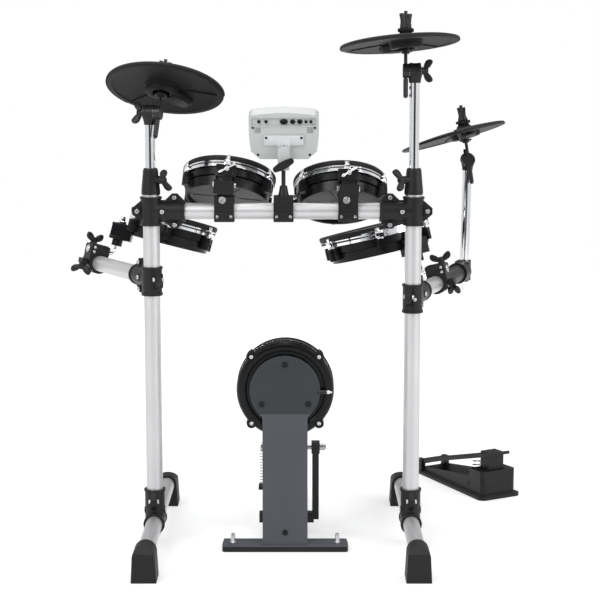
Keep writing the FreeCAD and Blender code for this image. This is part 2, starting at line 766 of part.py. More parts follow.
def drum_pad(name, radius, lug_angles, placement, extra=None, extra_tools=None):
    """Shell, hoop with tension rods, and head with its rubber rim."""
    depth = size.pad_depth
    shell_profile = [
        (0, -depth + 10), (radius - 20, -depth + 10), (radius - 18, -depth), (radius - 13, -depth),
        (radius - 10, -47), (radius - 14, -47), (radius - 14, -44), (radius - 8, -44),
        (radius - 8, -27), (radius - 16, -27), (radius - 16, -4), (radius - 21, -4),
        (radius - 21, -depth + 15), (0, -depth + 15),
    ]
    shell = turned(shell_profile)
    pieces = [shell]
    holes = []
    for angle in lug_angles:
        turn = Rotation(Z_AXIS, angle - 90)
        spot = polar(radius, angle)
        pieces.append(copy(lug, spot, turn))
        holes.append(rod(rod_hole_radius + gap, 40, polar(radius, angle, -43)))
    if extra:
        pieces += extra
    shell = cut(join(pieces), holes + (extra_tools or []))
    cushion = join([rod(24, 30, (0, 0, -depth + 15)), cone(24, 4, depth - 49.5, (0, 0, -depth + 45))])
    node(f"{name}_shell", [shell, cushion], placement)
    hoop_ring = turned([
        (radius - 9.5, -size.rim_height), (radius - 2, -size.rim_height), (radius - 2, -16),
        (radius - 4, -16.5), (radius - 4, -18.5), (radius - 2, -19), (radius - 2, -size.hoop_depth),
        (radius - 9.5, -size.hoop_depth), (radius - 9.5, -20), (radius - 12, -20), (radius - 12, -17),
        (radius - 9.5, -17),
    ])
    claws = [copy(claw, polar(radius, angle), Rotation(Z_AXIS, angle - 90)) for angle in lug_angles]
    bores = [rod(rod_hole_radius + gap, 40, polar(radius, angle, -40)) for angle in lug_angles]
    hoop = cut(join([hoop_ring] + claws), bores)
    rods = [copy(tension_rod, polar(radius, angle)) for angle in lug_angles]
    node(f"{name}_hoop", [hoop] + rods, placement)
    head = turned([
        (0, -3.9), (radius - 15.6, -3.9), (radius - 15.6, -25), (radius - 10, -25), (radius - 10, -20.3),
        (radius - 12.5, -20.3), (radius - 12.5, -2.4), (0, -2.4),
    ])
    rim = turned([
        (radius - 11, -1), (radius - 11, -8), (radius - 9.5, -size.rim_height), (radius, -size.rim_height),
        (radius, -2), (radius - 3, 1), (radius - 8, 1),
    ])
    node(f"{name}_head", [head, rim], placement)


# Arm pads hang on bent rods; the bracket stands midway between two lugs.
bracket_reach = 14
bracket_top = -48.5
bracket_low = -87


def bent_rod_pad(name, radius, arm, spot, side_reach, drop, bracket_angle):
    depth = size.pad_depth
    frame = arm.multiply(spot)
    leg_level = Vector(side_reach, 0, rise.value)
    center_out = radius + bracket_reach
    local = Vector(*polar(center_out.value, bracket_angle))
    level = depth + drop
    centre = frame.multVec(leg_level - local + Vector(0, 0, level.value))
    placement = Placement(centre, frame.Rotation)
    bracket_turn = Rotation(Z_AXIS, bracket_angle)
    bracket = copy(join([block(radius - 18.5, center_out + 20, -24, 24, bracket_low, bracket_top),
                         rod(13, bracket_top + 2.5 - bracket_low + 17, (center_out, 0, bracket_low - 17))]),
                   (0, 0, 0), bracket_turn)
    bore = rod(bent_radius + gap, 90, polar(center_out, bracket_angle, -120))
    lug_angles = [bracket_angle - 30 + 60 * k for k in range(6)]
    drum_pad(name, radius, lug_angles, placement, [bracket], [bore])
    bend = size.bent_rod_radius
    top = -50.0
    upper = rod(bent_radius, top + level - bend, (0, 0, -level + bend))
    corner = elbow(bend, bent_radius, 90, (-bend, 0, -level + bend), Rotation(X_AXIS, -90))
    side_length = side_reach + 34 - bend.value
    side_leg = rod(bent_radius, side_length, (-bend, 0, -level), Rotation(Y_AXIS, -90))
    bent = join([upper, corner, side_leg])
    node(f"{name}_rod", [bent], placement.multiply(Placement(local, Rotation())))


floor_side = 40
snare_side = 34
bent_rod_pad("floor_tom", size.small_hoop_radius, left_arm, left_spot, floor_side, 58, 150)
bent_rod_pad("snare", size.large_hoop_radius, right_arm, right_spot, snare_side, 67, 143)

# Crossbar clamps, yokes and rack toms.
half_width = size.clamp_width / 2
clamp_high = 34
bar_clamp = cut(block(-half_width, half_width, -27, 22, -20.8, clamp_high),
                [rod(tube_radius + gap, 60, (-30, 0, 0), ALONG_X)])
ear_gap = 16.5
pin_radius = 4
yoke = cut(join([
    block(-half_width, half_width, -17, 12, -20, -14),
    block(-half_width, half_width, -17, -11, -20, 11),
    block(-half_width, -ear_gap, -17, 11, -20, 11),
    block(ear_gap, half_width, -17, 11, -20, 11),
]), [rod(pin_radius + gap, 60, (-30, 0, 0), ALONG_X)])
yoke_pin = join([rod(pin_radius, 2 * half_width, (-half_width, 0, 0), ALONG_X),
                 rod(6.5, 4, (half_width, 0, 0), ALONG_X), rod(6.5, 4, (-half_width - 4, 0, 0), ALONG_X)])
bar_pieces = []


def rack_tom(name, x, yoke_rise, yaw, roll, tilt):
    """Clamp with its turned yoke, and the pad that tilts in the yoke."""
    radius = size.small_hoop_radius
    depth = size.pad_depth
    bar = Vector(x.value, 0, size.crossbar_height.value)
    pivot = bar + Vector(0, -size.yoke_depth.value, yoke_rise.value)
    yoke_turn = Rotation(Z_AXIS, yaw).multiply(Rotation(Y_AXIS, roll))
    yoke_place = Placement(pivot, yoke_turn)
    neck = block(-15, 15, -18, 2, clamp_high - 6, yoke_rise - 16)
    bar_pieces.append(join([copy(bar_clamp, bar), copy(neck, bar), place_copy(yoke, yoke_place)]))
    rack_bolts.append(place_copy(yoke_pin, yoke_place))
    turn = yoke_turn.multiply(Rotation(X_AXIS, -tilt))
    pivot_local = Vector(0, -(radius.value + 6), -(depth.value + 8))
    centre = pivot - turn.multVec(pivot_local)
    tongue_half = ear_gap - 0.3
    tongue = join([
        block(-21, 21, -radius - 13, -radius + 18.5, -61, -29),
        block(-tongue_half, tongue_half, -radius - 14, -radius + 2, -depth - 8, -32),
        rod(10.3, 2 * tongue_half, (-tongue_half, pivot_local.y, pivot_local.z), ALONG_X),
    ])
    bore = rod(pin_radius + 0.05, 80, (-40, pivot_local.y, pivot_local.z), ALONG_X)
    drum_pad(name, radius, [-90 + 60 * k for k in range(6)], Placement(centre, turn), [tongue], [bore])
    note(name, pivot, yoke_turn.multVec(X_AXIS))


rack_tom("tom_1", size.tom_1_x, size.tom_1_rise, -2, 5.4, 26.8)
rack_tom("tom_2", size.tom_2_x, size.tom_2_rise, 6.9, 2.8, 29.8)

# Module on its stem.
stem_radius = size.stem_diameter / 2
stem_y = -12
stem_boss = cone(13, 8, 26, (size.module_x, stem_y, size.crossbar_height + clamp_high - 1))
bar_pieces.append(cut(join([copy(bar_clamp, (size.module_x, 0, size.crossbar_height)), stem_boss]),
                      rod(stem_radius + gap, 60, (size.module_x, stem_y, size.crossbar_height + 20))))
node("crossbar_clamps", bar_pieces)
stem_bottom = size.crossbar_height + 20
stem_top = size.crossbar_height + 146
node("module_stem", [rod(stem_radius, stem_top - stem_bottom, (size.module_x, stem_y, stem_bottom))])
module_tilt = 24
module_low = 118
module_frame = Placement(Vector(size.module_x.value + 1, 6, size.crossbar_height.value + module_low),
                         Rotation(X_AXIS, module_tilt))
case_outline = [(-55, 0), (55, 0), (75, 20), (79, 60), (79, 102), (72, 109), (-72, 109, 0, 115), (-79, 102),
                (-79, 60), (-75, 20)]
case_depth = 34
case_shell = prism(case_outline, case_depth, (0, case_depth, 0), plane_role="XZ_Plane")
band = block(-73, 73, -1, 4, 84, 101)
case_body = cut(case_shell, band)
bracket_plate = join([
    block(-45, 45, -4, 0, 36, 62),
    block(-15, 15, -4, 0, 4, 62),
])
socket_block = Placement(module_frame.inverse()).multiply(
    Placement(Vector(size.module_x.value, stem_y, size.crossbar_height.value + module_low),
              Rotation()))
holder = block(-13, 13, -11, 16, -24, 28)
holder_copy = place_copy(holder, socket_block)
stem_bore = place_copy(rod(stem_radius + gap, 80, (0, 0, -40)), socket_block)
case_side = join([case_body, bracket_plate])
holder_trim = cut(holder_copy, block(-100, 100, 0, 100, -60, 200))
knob_level = -12
knob_tap = place_copy(rod(4.05, 30, (0, -32, knob_level), ALONG_Y), socket_block)
case_node = cut(join([case_side, holder_trim]), [stem_bore, knob_tap])
knob_shank = 11 - stem_radius - 0.4
knob_bar = prism([(-23, -6), (-23, 6, -26, 0), (-8, 9), (8, 9), (23, 6), (23, -6, 26, 0), (8, -9), (-8, -9)],
                 12, (0, -12, 0), Rotation(Y_AXIS, -28), plane_role="XZ_Plane")
knob_grip = join([knob_bar, rod(9, 3, (0, -14, 0), ALONG_Y),
                  rod(4, knob_shank + 1, (0, -11.3 - 1, 0), ALONG_Y)])
knob_place = module_frame.multiply(socket_block).multiply(Placement(Vector(0, 0, knob_level), Rotation()))
node("module_knob", [knob_grip], knob_place)
panel_outline = [(-53, 3), (53, 3), (72, 22), (76, 60), (76, 100), (69, 106), (-69, 106, 0, 112), (-76, 100),
                 (-76, 60), (-72, 22)]
panel_thickness = 3
key_spots = [(-50, 60)]
dial_spot = (20, 62)
volume_spot = (-14, 62)
panel = prism(panel_outline, panel_thickness, (0, case_depth + panel_thickness, 0), plane_role="XZ_Plane")
shaft_holes = [rod(3.05, 40, (dial_spot[0], 10, dial_spot[1]), ALONG_Y),
               rod(3.05, 40, (volume_spot[0], 10, volume_spot[1]), ALONG_Y)]
key_holes = [block(x - 7.1, x + 7.1, 20, 60, z - 4.6, z + 4.6) for x, z in key_spots]
panel_cut = cut(panel, shaft_holes + key_holes)
pockets = [block(x - 8, x + 8, case_depth - 8, 60, z - 6, z + 6) for x, z in key_spots]
wells = [rod(3.05, 40, (dial_spot[0], case_depth - 12, dial_spot[1]), ALONG_Y),
         rod(3.05, 40, (volume_spot[0], case_depth - 12, volume_spot[1]), ALONG_Y)]
case_final = cut(case_node, pockets + wells)
node("module_case", [case_final], module_frame)
node("module_panel", [panel_cut], module_frame)
face = case_depth + panel_thickness
for label, spot, radius, height in (("module_dial", dial_spot, 17, 11), ("module_volume", volume_spot, 9, 13)):
    knob = join([rod(radius, height, (spot[0], face + 0.3, spot[1]), ALONG_Y),
                 rod(3, 12, (spot[0], face - 11, spot[1]), ALONG_Y)])
    node(label, [knob], module_frame)
for label, spot in zip(("start_key",), key_spots):
    key = block(spot[0] - 7, spot[0] + 7, case_depth - 4, face + 3, spot[1] - 4.5, spot[1] + 4.5)
    node(label, [key], module_frame)

# Kick pad, tower and its foot.
kick_place = Placement(Vector(size.kick_x.value, -46 + size.pad_depth.value, size.kick_height.value),
                       Rotation(X_AXIS, -90))
drum_pad("kick", size.kick_hoop_radius, [45, 135, 225, 315], kick_place)
thick = size.tower_thickness
tower_back = -46
half_strip = size.tower_strip_width / 2
lean_out = 12
fold = 322
sheet_profile = [
    (tower_back, fold + 20), (tower_back - thick, fold + 20), (tower_back - thick, fold),
    (tower_back - thick - lean_out, 12 + thick), (tower_back - thick - lean_out, 12),
    (FOOT_BAR_REAR, 12), (FOOT_BAR_REAR, 12 + thick), (tower_back - lean_out, 12 + thick), (tower_back, fold),
]
strip = prism(sheet_profile, size.tower_strip_width, (size.kick_x - half_strip, 0, 0),
              plane_role="YZ_Plane")
disc = rod(size.tower_disc_radius, thick, (size.kick_x, tower_back - thick, size.kick_height), ALONG_Y)
plate_low = 12
plate_top = plate_low + thick
foot_plate = block(size.kick_x - 144, size.kick_x + 144, FOOT_BAR_FRONT, FOOT_BAR_REAR, plate_low, plate_top)
tongue_plate = block(size.kick_x - 45, size.kick_x + 45, -40, 98, plate_low, plate_top)
node("kick_tower", [join([strip, disc, foot_plate, tongue_plate])])
foot_bar = block(size.kick_x - 146, size.kick_x + 146, FOOT_BAR_FRONT, FOOT_BAR_REAR, 0, plate_low)
bar_end = doc.addObject("Part::Fillet", "bar_end")
bar_end.Base = foot_bar
bar_end.Edges = [(n, 8.0, 8.0) for n in (1, 3, 5, 7)]
node("kick_foot_bar", [bar_end])
spur = join([rod(6.5, 5, (0, 0, 16)), rod(3.5, 20, (0, 0, 20))])
for spur_x in (-121, 121):
    rack_bolts.append(copy(spur, (size.kick_x.value + spur_x, -52, 0)))
disc_screw = rod(5, 3, (0, -3, 0), ALONG_Y)
for angle in (90, 210, 330):
    x, z, _ = polar(62, angle)
    rack_bolts.append(copy(disc_screw, (size.kick_x.value + x, tower_back - thick.value,
                                        size.kick_height.value + z)))
node("rack_bolts", rack_bolts)

# Kick pedal.
pedal_x = size.kick_x + 2
axle_radius = size.axle_diameter / 2
axle_z = size.axle_height
axle_y = size.axle_depth
heel_y = 397
heel_z = 26
right_post = (62, 78)
left_post = (-52, -40.5)
cross_low = 20
cross_high = 44
bearing_half = 13.5
bearing_out = 80
frame_body = join([
    block(pedal_x - 42, pedal_x + 42, 70, 420, 0, 5),
    block(pedal_x - 66, pedal_x + 66, axle_y - 11, axle_y + 11, cross_low, cross_high),
    block(pedal_x + left_post[0], pedal_x + left_post[1], axle_y - 11, axle_y + 11, cross_low + 8, axle_z),
    block(pedal_x + right_post[0], pedal_x + right_post[1], axle_y - 11, axle_y + 11, cross_low + 8, axle_z),
    rod(15, left_post[1] - left_post[0], (pedal_x + left_post[0], axle_y, axle_z), ALONG_X),
    block(pedal_x + right_post[0] - 2, pedal_x + bearing_out, axle_y - bearing_half, axle_y + bearing_half,
          axle_z - bearing_half, axle_z + bearing_half),
    block(pedal_x - 36, pedal_x - 27, heel_y - 12, heel_y + 12, 0, heel_z + 8),
    block(pedal_x + 27, pedal_x + 36, heel_y - 12, heel_y + 12, 0, heel_z + 8),
    block(pedal_x - 68, pedal_x - 42, axle_y + 2, axle_y + 36, 98, 106),
    block(pedal_x - 24, pedal_x + 24, 72, 106, 4, plate_low),
    block(pedal_x - 24, pedal_x + 24, 72, 106, plate_top, plate_top + 9),
    block(pedal_x - 24, pedal_x + 24, 98, 106, 4, plate_top + 9),
])
frame_cut = cut(frame_body, [rod(axle_radius + gap, 300, (-150, axle_y, axle_z), ALONG_X),
                             rod(4.05, 120, (pedal_x - 60, heel_y, heel_z), ALONG_X)])
node("pedal_frame", [frame_cut])
toe_y = axle_y - size.cam_radius - 2
board_rise = 56.0
board_run = heel_y - toe_y.value
board_angle = math.degrees(math.atan2(board_rise, board_run))
board_length = math.hypot(board_rise, board_run)
board_frame = Placement(Vector(pedal_x.value, heel_y, heel_z), Rotation(X_AXIS, -board_angle))
strap_low = board_frame.inverse().multVec(Vector(pedal_x.value, toe_y.value, heel_z + board_rise))
upright_in_board = Rotation(X_AXIS, board_angle)
strap_height = axle_z.value - heel_z - board_rise
strap = box(14, 2.4, strap_height, (-7, strap_low.y - 1.2, strap_low.z), upright_in_board)
board = join([
    block(-39, 39, -board_length - 6, -15, -3.5, 3.5),
    rod(8, 53, (-26.5, 0, 0), ALONG_X),
    block(-26, 26, -16, 0, -3.5, 3.5),
    rod(4, 76, (-38, 0, 0), ALONG_X),
    strap,
])
node("pedal_footboard", [board], board_frame)
beater_length = 185
beater_rest = -25
arm_reach = 25
axle_frame = Placement(Vector(pedal_x.value, axle_y.value, axle_z.value), Rotation(X_AXIS, beater_rest))
flat_arm = Rotation(X_AXIS, -beater_rest)
spring_x = -58
axle_left = spring_x - 4
axle_right = bearing_out + 15
axle = join([
    rod(axle_radius, axle_right - axle_left, (axle_left, 0, 0), ALONG_X),
    rod(size.cam_radius, 16, (-10, 0, 0), ALONG_X),
    rod(4.5, beater_length, (-2, 0, 0)),
    rod(axle_radius + 2, 12, (bearing_out + 0.4, 0, 0), ALONG_X),
])
felt_head = put(rod(24, 46, (0, 0, 0)), (-2, -23, beater_length), ALONG_Y)
arm = put(join([rod(11, 8, (spring_x - 4, 0, 0), ALONG_X),
                block(spring_x - 4, spring_x + 4, 0, arm_reach + 6, -4, 4)]), (0, 0, 0), flat_arm)
node("pedal_beater", [join([axle, arm, felt_head])], axle_frame)


# Wound springs: one tube swept along joined arcs, two to each quarter turn.
def biarc(start, start_way, end, end_way):
    across = end - start
    ways = start_way + end_way
    bend = 2.0 * (1.0 - start_way.dot(end_way))
    dot = across.dot(ways)
    reach = (-dot + math.sqrt(dot * dot + bend * across.dot(across))) / bend
    first = start + start_way * reach
    second = end - end_way * reach
    joint = (first + second) * 0.5
    edges = []
    for a, corner, b in ((start, first, joint), (joint, second, end)):
        half = (b - a).Length / 2
        middle = (a + b) * 0.5
        height = (corner - middle).Length
        sag = half * math.tan(math.atan2(height, half) / 2)
        edges.append(Part.Arc(a, middle + (corner - middle) * (sag / height), b).toShape())
    return edges


def wound(label, radius_low, radius_high, wire, turns, height, placement):
    steps = int(round(turns * 4))
    points = []
    ways = []
    for i in range(steps + 1):
        angle = i * math.pi / 2
        share = i / steps
        radius = radius_low + (radius_high - radius_low) * share
        growth = (radius_high - radius_low) / (steps * math.pi / 2)
        climb = height / (steps * math.pi / 2)
        points.append(Vector(radius * math.cos(angle), radius * math.sin(angle), height * share))
        way = Vector(growth * math.cos(angle) - radius * math.sin(angle),
                     growth * math.sin(angle) + radius * math.cos(angle), climb)
        ways.append(way.normalize())
    edges = []
    for i in range(steps):
        edges += biarc(points[i], ways[i], points[i + 1], ways[i + 1])
    path = Part.Wire(edges)
    ring = Part.Wire([Part.Circle(points[0], ways[0], wire / 2).toShape()])
    shape = path.makePipeShell([ring], True, False)
    pitch = height / turns
    print(label, "least gap between turns", round(pitch - wire, 3))
    item = doc.addObject("Part::Feature", label)
    item.Shape = shape
    item.Placement = to_origin.multiply(placement)
    item.Label = label
    nodes[label] = item
    return item


spring_y = axle_y.value + arm_reach
spring_low = 106.0
spring_high = axle_z.value - 4.0
wire = size.spring_wire.value
wound("pedal_spring", size.spring_radius.value, size.spring_radius.value, wire, 13,
      spring_high - spring_low - wire - 0.6,
      Placement(Vector(pedal_x.value + spring_x, spring_y, spring_low + wire / 2 + 0.3), Rotation()))

# Hi-hat pedal: local origin on the floor below the toe, local +Y runs to the heel.
hat_frame = at_turn(size.hat_x, size.hat_y, 0, size.hat_heading)
hat_long = size.hat_length
toe_half = size.hat_toe_width / 2
heel_half = size.hat_heel_width / 2
toe_top = 72
deck = 50


def hat_plan(inset, height):
    """Plan of the pedal base, narrowing to the heel, with rounded corners."""
    bend = 18 - inset / 2
    swell = bend * (1 - math.sqrt(0.5))
    wide = toe_half - inset
    narrow = heel_half - inset
    far = hat_long - inset
    return prism([
        (-wide + bend, inset, -wide + swell, inset + swell), (wide - bend, inset),
        (wide, inset + bend, wide - swell, inset + swell),
        (narrow, far - bend), (narrow - bend, far, narrow - swell, far - swell),
        (-narrow + bend, far), (-narrow, far - bend, -narrow + swell, far - swell),
        (-wide, inset + bend),
    ], height)


house_sides = prism([
    (8, 8), (14, toe_top), (74, toe_top), (80, deck), (hat_long - 16, 20), (hat_long - 10, 8),
], 2 * toe_half, (-toe_half, 0, 0), plane_role="YZ_Plane")
house = common(house_sides, hat_plan(11, 90))
base_plate = hat_plan(0, 8)
toe_slot = block(-27, 27, 22, 68, 14, 100)
spring_spot_y = 112
spring_well = rod(16, 60, (0, spring_spot_y, 30))
hat_heel_y = hat_long - 26
hat_heel_z = 34
hinge_blocks = [block(-46, -33, hat_heel_y - 10, hat_heel_y + 10, 8, hat_heel_z + 8),
                block(33, 46, hat_heel_y - 10, hat_heel_y + 10, 8, hat_heel_z + 8)]
hat_base = cut(join([base_plate, house] + hinge_blocks),
               [toe_slot, spring_well, rod(4.05, 120, (-60, hat_heel_y, hat_heel_z), ALONG_X),
                block(-32.6, 32.6, hat_heel_y - 14, hat_heel_y + 20, 12, 60)])
node("hat_base", [hat_base], hat_frame)
hat_run = hat_heel_y.value - 45
hat_rise = 74.0
hat_angle = math.degrees(math.atan2(hat_rise, hat_run))
hat_board_length = math.hypot(hat_run, hat_rise)
hat_board_frame = hat_frame.multiply(
    Placement(Vector(0, hat_heel_y.value, hat_heel_z), Rotation(X_AXIS, -hat_angle)))
toe_block = block(-23, 23, -19, 19, -48, 9)
toe_place = Placement(Vector(0, -hat_board_length, 0), Rotation(X_AXIS, hat_angle))
toe_shape = place_copy(toe_block, toe_place)
hat_board = join([
    block(-42, 42, -hat_board_length - 20, -12, -4, 4),
    block(-30, 30, -20, 0, -4, 4),
    rod(7.5, 62, (-31, 0, 0), ALONG_X),
    rod(4, 88, (-44, 0, 0), ALONG_X),
    toe_shape,
])
node("hat_footboard", [hat_board], hat_board_frame)
under = hat_heel_z + (hat_heel_y.value - spring_spot_y) * hat_rise / hat_run - 4.2
hat_spring_low = 30.0
wound("hat_spring", 11.0, 11.0, 2.0, 5, under - hat_spring_low - 2.0 - 4.6,
      hat_frame.multiply(Placement(Vector(0, spring_spot_y, hat_spring_low + 1.3), Rotation())))

# Remaining joints, then all of them in print.
for label, arm, spot, side_reach in (("floor_tom", left_arm, left_spot, floor_side),
                                     ("snare", right_arm, right_spot, snare_side)):
    frame = arm.multiply(spot)
    note(f"{label}_rod", frame.multVec(Vector(0, 0, rise.value)), frame.Rotation.multVec(X_AXIS))
    note(label, frame.multVec(Vector(side_reach, 0, rise.value)), frame.Rotation.multVec(Z_AXIS))
note("module", Vector(size.module_x.value, stem_y, size.crossbar_height.value + module_low), Z_AXIS)
panel_way = module_frame.Rotation.multVec(Y_AXIS)
for label, spot in (("module_dial", dial_spot), ("module_volume", volume_spot), ("start_key", key_spots[0])):
    note(label, module_frame.multVec(Vector(spot[0], face, spot[1])), panel_way)
note("module_knob", knob_place.Base, Y_AXIS)
note("pedal_footboard", board_frame.Base, X_AXIS)
note("pedal_beater", axle_frame.Base, X_AXIS)
note("hat_footboard", hat_board_frame.Base, hat_board_frame.Rotation.multVec(X_AXIS))
for label, numbers in pivots.items():
    print("pivot", label, *numbers)

doc.recompute()
bad = [o.Name for o in doc.Objects if "Invalid" in o.State or "Error" in o.State]
print("invalid", bad)
os.makedirs("parts", exist_ok=True)
for label, item in nodes.items():
    shape = item.Shape
    if shape.isNull() or not shape.isValid():
        print("bad shape", label, shape.isNull())
        continue
    shape.exportStep(f"parts/{label}.step")
    volume = round(shape.Volume / 1000.0, 2)
    print(label, len(shape.Solids), "solids", volume, "cm3")
whole = Part.makeCompound([item.Shape for item in nodes.values()])
print("nodes", len(nodes), whole.BoundBox)
if bad:
    raise RuntimeError("some features failed")
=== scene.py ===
import bpy
import bmesh
import json
import math
import numpy
from mathutils import Matrix, Vector


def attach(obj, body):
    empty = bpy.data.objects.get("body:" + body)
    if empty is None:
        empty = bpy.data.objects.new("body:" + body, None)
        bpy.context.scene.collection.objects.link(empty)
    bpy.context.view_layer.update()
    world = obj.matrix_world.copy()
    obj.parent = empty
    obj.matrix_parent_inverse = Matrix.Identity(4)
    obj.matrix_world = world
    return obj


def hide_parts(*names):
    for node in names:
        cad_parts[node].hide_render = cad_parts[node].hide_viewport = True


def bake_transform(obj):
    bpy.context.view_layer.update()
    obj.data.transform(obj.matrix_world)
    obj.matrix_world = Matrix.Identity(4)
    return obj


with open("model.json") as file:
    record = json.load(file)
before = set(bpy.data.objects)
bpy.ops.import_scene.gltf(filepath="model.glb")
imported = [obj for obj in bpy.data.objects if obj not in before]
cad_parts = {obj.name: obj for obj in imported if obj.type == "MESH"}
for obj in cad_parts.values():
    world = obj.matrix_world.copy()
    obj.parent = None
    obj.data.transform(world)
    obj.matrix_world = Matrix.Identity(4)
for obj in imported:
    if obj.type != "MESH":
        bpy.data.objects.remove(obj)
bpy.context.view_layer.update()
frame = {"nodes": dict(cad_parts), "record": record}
scene = bpy.context.scene
nodes = frame["nodes"]
joints = {joint["name"]: joint for joint in frame["record"]["behaviour"]["joints"]}
MILLI = 0.001

# Camera at the photograph's angle: place in metres, pitch in degrees below level, lens in millimetres.
CAMERA_PLACE = (0.0345, -3.5185, 1.1026)
CAMERA_PITCH = 8.35
SENSOR_WIDTH = 36.0
FOCAL_LENGTH = 93.6
FAR_LIMIT = 60.0
camera_data = bpy.data.cameras.new("camera")
camera_data.sensor_width = SENSOR_WIDTH
camera_data.lens = FOCAL_LENGTH
camera_data.clip_end = FAR_LIMIT
camera = bpy.data.objects.new("camera", camera_data)
camera.location = CAMERA_PLACE
camera.rotation_euler = (math.radians(90.0 - CAMERA_PITCH), 0.0, 0.0)
scene.collection.objects.link(camera)
scene.camera = camera
scene.view_settings.view_transform = "Standard"

# Materials, kept by name. Those of the CAD nodes have the names of their slots.
finishes = {}


def new_material(name):
    material = bpy.data.materials.new(name)
    material.use_nodes = True
    finishes[name] = material
    tree = material.node_tree
    return tree, tree.nodes["Principled BSDF"]


def link(tree, source, target):
    tree.links.new(source, target)


def add_node(tree, kind, **values):
    node = tree.nodes.new(f"ShaderNode{kind}")
    for name, value in values.items():
        node.inputs[name].default_value = value
    return node


def noise_node(tree, scale, detail):
    noise = add_node(tree, "TexNoise", Scale=scale, Detail=detail)
    link(tree, add_node(tree, "TexCoord").outputs["Object"], noise.inputs["Vector"])
    return noise.outputs["Fac"]


def wave_node(tree, scale, axis):
    wave = add_node(tree, "TexWave", Scale=scale, Distortion=0.6)
    wave.bands_direction = axis
    link(tree, add_node(tree, "TexCoord").outputs["Object"], wave.inputs["Vector"])
    return wave.outputs["Fac"]


def ramp_node(tree, source, stops):
    ramp = add_node(tree, "ValToRGB")
    elements = ramp.color_ramp.elements
    for element, (position, colour) in zip(elements, (stops[0], stops[-1])):
        element.position = position
        element.color = (*colour, 1.0)
    for position, colour in stops[1:-1]:
        elements.new(position).color = (*colour, 1.0)
    link(tree, source, ramp.inputs["Fac"])
    return ramp.outputs["Color"]


def math_node(tree, kind, first, second):
    node = add_node(tree, "Math")
    node.operation = kind
    for socket, value in zip(node.inputs, (first, second)):
        if isinstance(value, (int, float)):
            socket.default_value = value
        else:
            link(tree, value, socket)
    return node.outputs[0]


def bump_node(tree, source, shader, strength, distance, edge=0.0):
    """Relief from source; edge is the radius by which sharp edges look rounded."""
    bump = add_node(tree, "Bump", Strength=strength, Distance=distance)
    link(tree, source, bump.inputs["Height"])
    if edge:
        soft = add_node(tree, "Bevel", Radius=edge)
        soft.samples = 4
        link(tree, soft.outputs["Normal"], bump.inputs["Normal"])
    link(tree, bump.outputs["Normal"], shader.inputs["Normal"])


def range_node(tree, source, low, high, start=0.0, end=1.0):
    levels = {"From Min": start, "From Max": end, "To Min": low, "To Max": high}
    ranged = add_node(tree, "MapRange", **levels)
    link(tree, source, ranged.inputs["Value"])
    return ranged.outputs["Result"]


def mix_node(tree, share, first, second):
    mix = add_node(tree, "MixShader")
    link(tree, share, mix.inputs["Fac"])
    link(tree, first, mix.inputs[1])
    link(tree, second, mix.inputs[2])
    return mix.outputs["Shader"]


PATCH_SCALE = 6.0
FINE_SHARE = 0.55


def surface(name, dark, light, roughness, metallic, grain, bump=0.1, depth=0.0002, specular=0.5,
            spread=0.08, edge=0.0):
    """A finish with fine grain over broad, faint patches that vary its colour and gloss."""
    tree, shader = new_material(name)
    fine = noise_node(tree, grain, 4.0)
    broad = noise_node(tree, PATCH_SCALE, 3.0)
    mixed = math_node(tree, "ADD", math_node(tree, "MULTIPLY", fine, FINE_SHARE),
                      math_node(tree, "MULTIPLY", broad, 1.0 - FINE_SHARE))
    colour = ramp_node(tree, mixed, [(0.34, dark), (0.66, light)])
    link(tree, colour, shader.inputs["Base Color"])
    gloss = range_node(tree, mixed, roughness - spread, roughness + spread)
    link(tree, gloss, shader.inputs["Roughness"])
    bump_node(tree, fine, shader, bump, depth, edge)
    shader.inputs["Metallic"].default_value = metallic
    shader.inputs["Specular IOR Level"].default_value = specular


THREAD_PITCH = 0.0014


def woven(name, second_axis):
    """Black mesh cloth: threads across X and across a second axis."""
    tree, shader = new_material(name)
    scale = 2.0 * math.pi / (20.0 * THREAD_PITCH)
    threads = math_node(tree, "MAXIMUM", wave_node(tree, scale, "X"), wave_node(tree, scale, second_axis))
    patches = range_node(tree, noise_node(tree, 9.0, 3.0), 0.75, 1.1)
    tone = math_node(tree, "MULTIPLY", threads, patches)
    colour = ramp_node(tree, tone, [(0.15, (0.008, 0.008, 0.009)), (0.95, (0.06, 0.06, 0.063))])
    link(tree, colour, shader.inputs["Base Color"])
    link(tree, range_node(tree, threads, 0.8, 0.6), shader.inputs["Roughness"])
    bump_node(tree, threads, shader, 0.5, 0.0003)
    shader.inputs["Sheen Weight"].default_value = 0.15


EDGE = 0.0008
surface("satin_tube", (0.57, 0.57, 0.575), (0.67, 0.67, 0.675), 0.43, 0.75, 900, bump=0.04, edge=EDGE)
surface("clamp_plastic", (0.007, 0.0072, 0.0077), (0.016, 0.0163, 0.0172), 0.42, 0.0, 1400, bump=0.15,
        specular=0.28, edge=0.0012)
surface("foot_rubber", (0.007, 0.007, 0.0075), (0.016, 0.016, 0.017), 0.58, 0.0, 1200, bump=0.25,
        specular=0.3, edge=0.002)
surface("bright_chrome", (0.74, 0.75, 0.77), (0.86, 0.87, 0.88), 0.07, 1.0, 300, bump=0.01,
        spread=0.03, edge=EDGE)
surface("bright_bolt", (0.5, 0.5, 0.52), (0.68, 0.68, 0.7), 0.26, 1.0, 500, bump=0.05, edge=EDGE)
surface("black_steel", (0.009, 0.009, 0.010), (0.021, 0.021, 0.023), 0.36, 0.0, 900, bump=0.08,
        specular=0.36, edge=EDGE)
surface("silver_plastic", (0.5, 0.513, 0.508), (0.59, 0.603, 0.597), 0.45, 0.1, 1800, bump=0.08,
        edge=0.0025)
surface("panel_plastic", (0.014, 0.014, 0.016), (0.026, 0.026, 0.028), 0.42, 0.0, 1500, bump=0.1,
        specular=0.36, edge=EDGE)
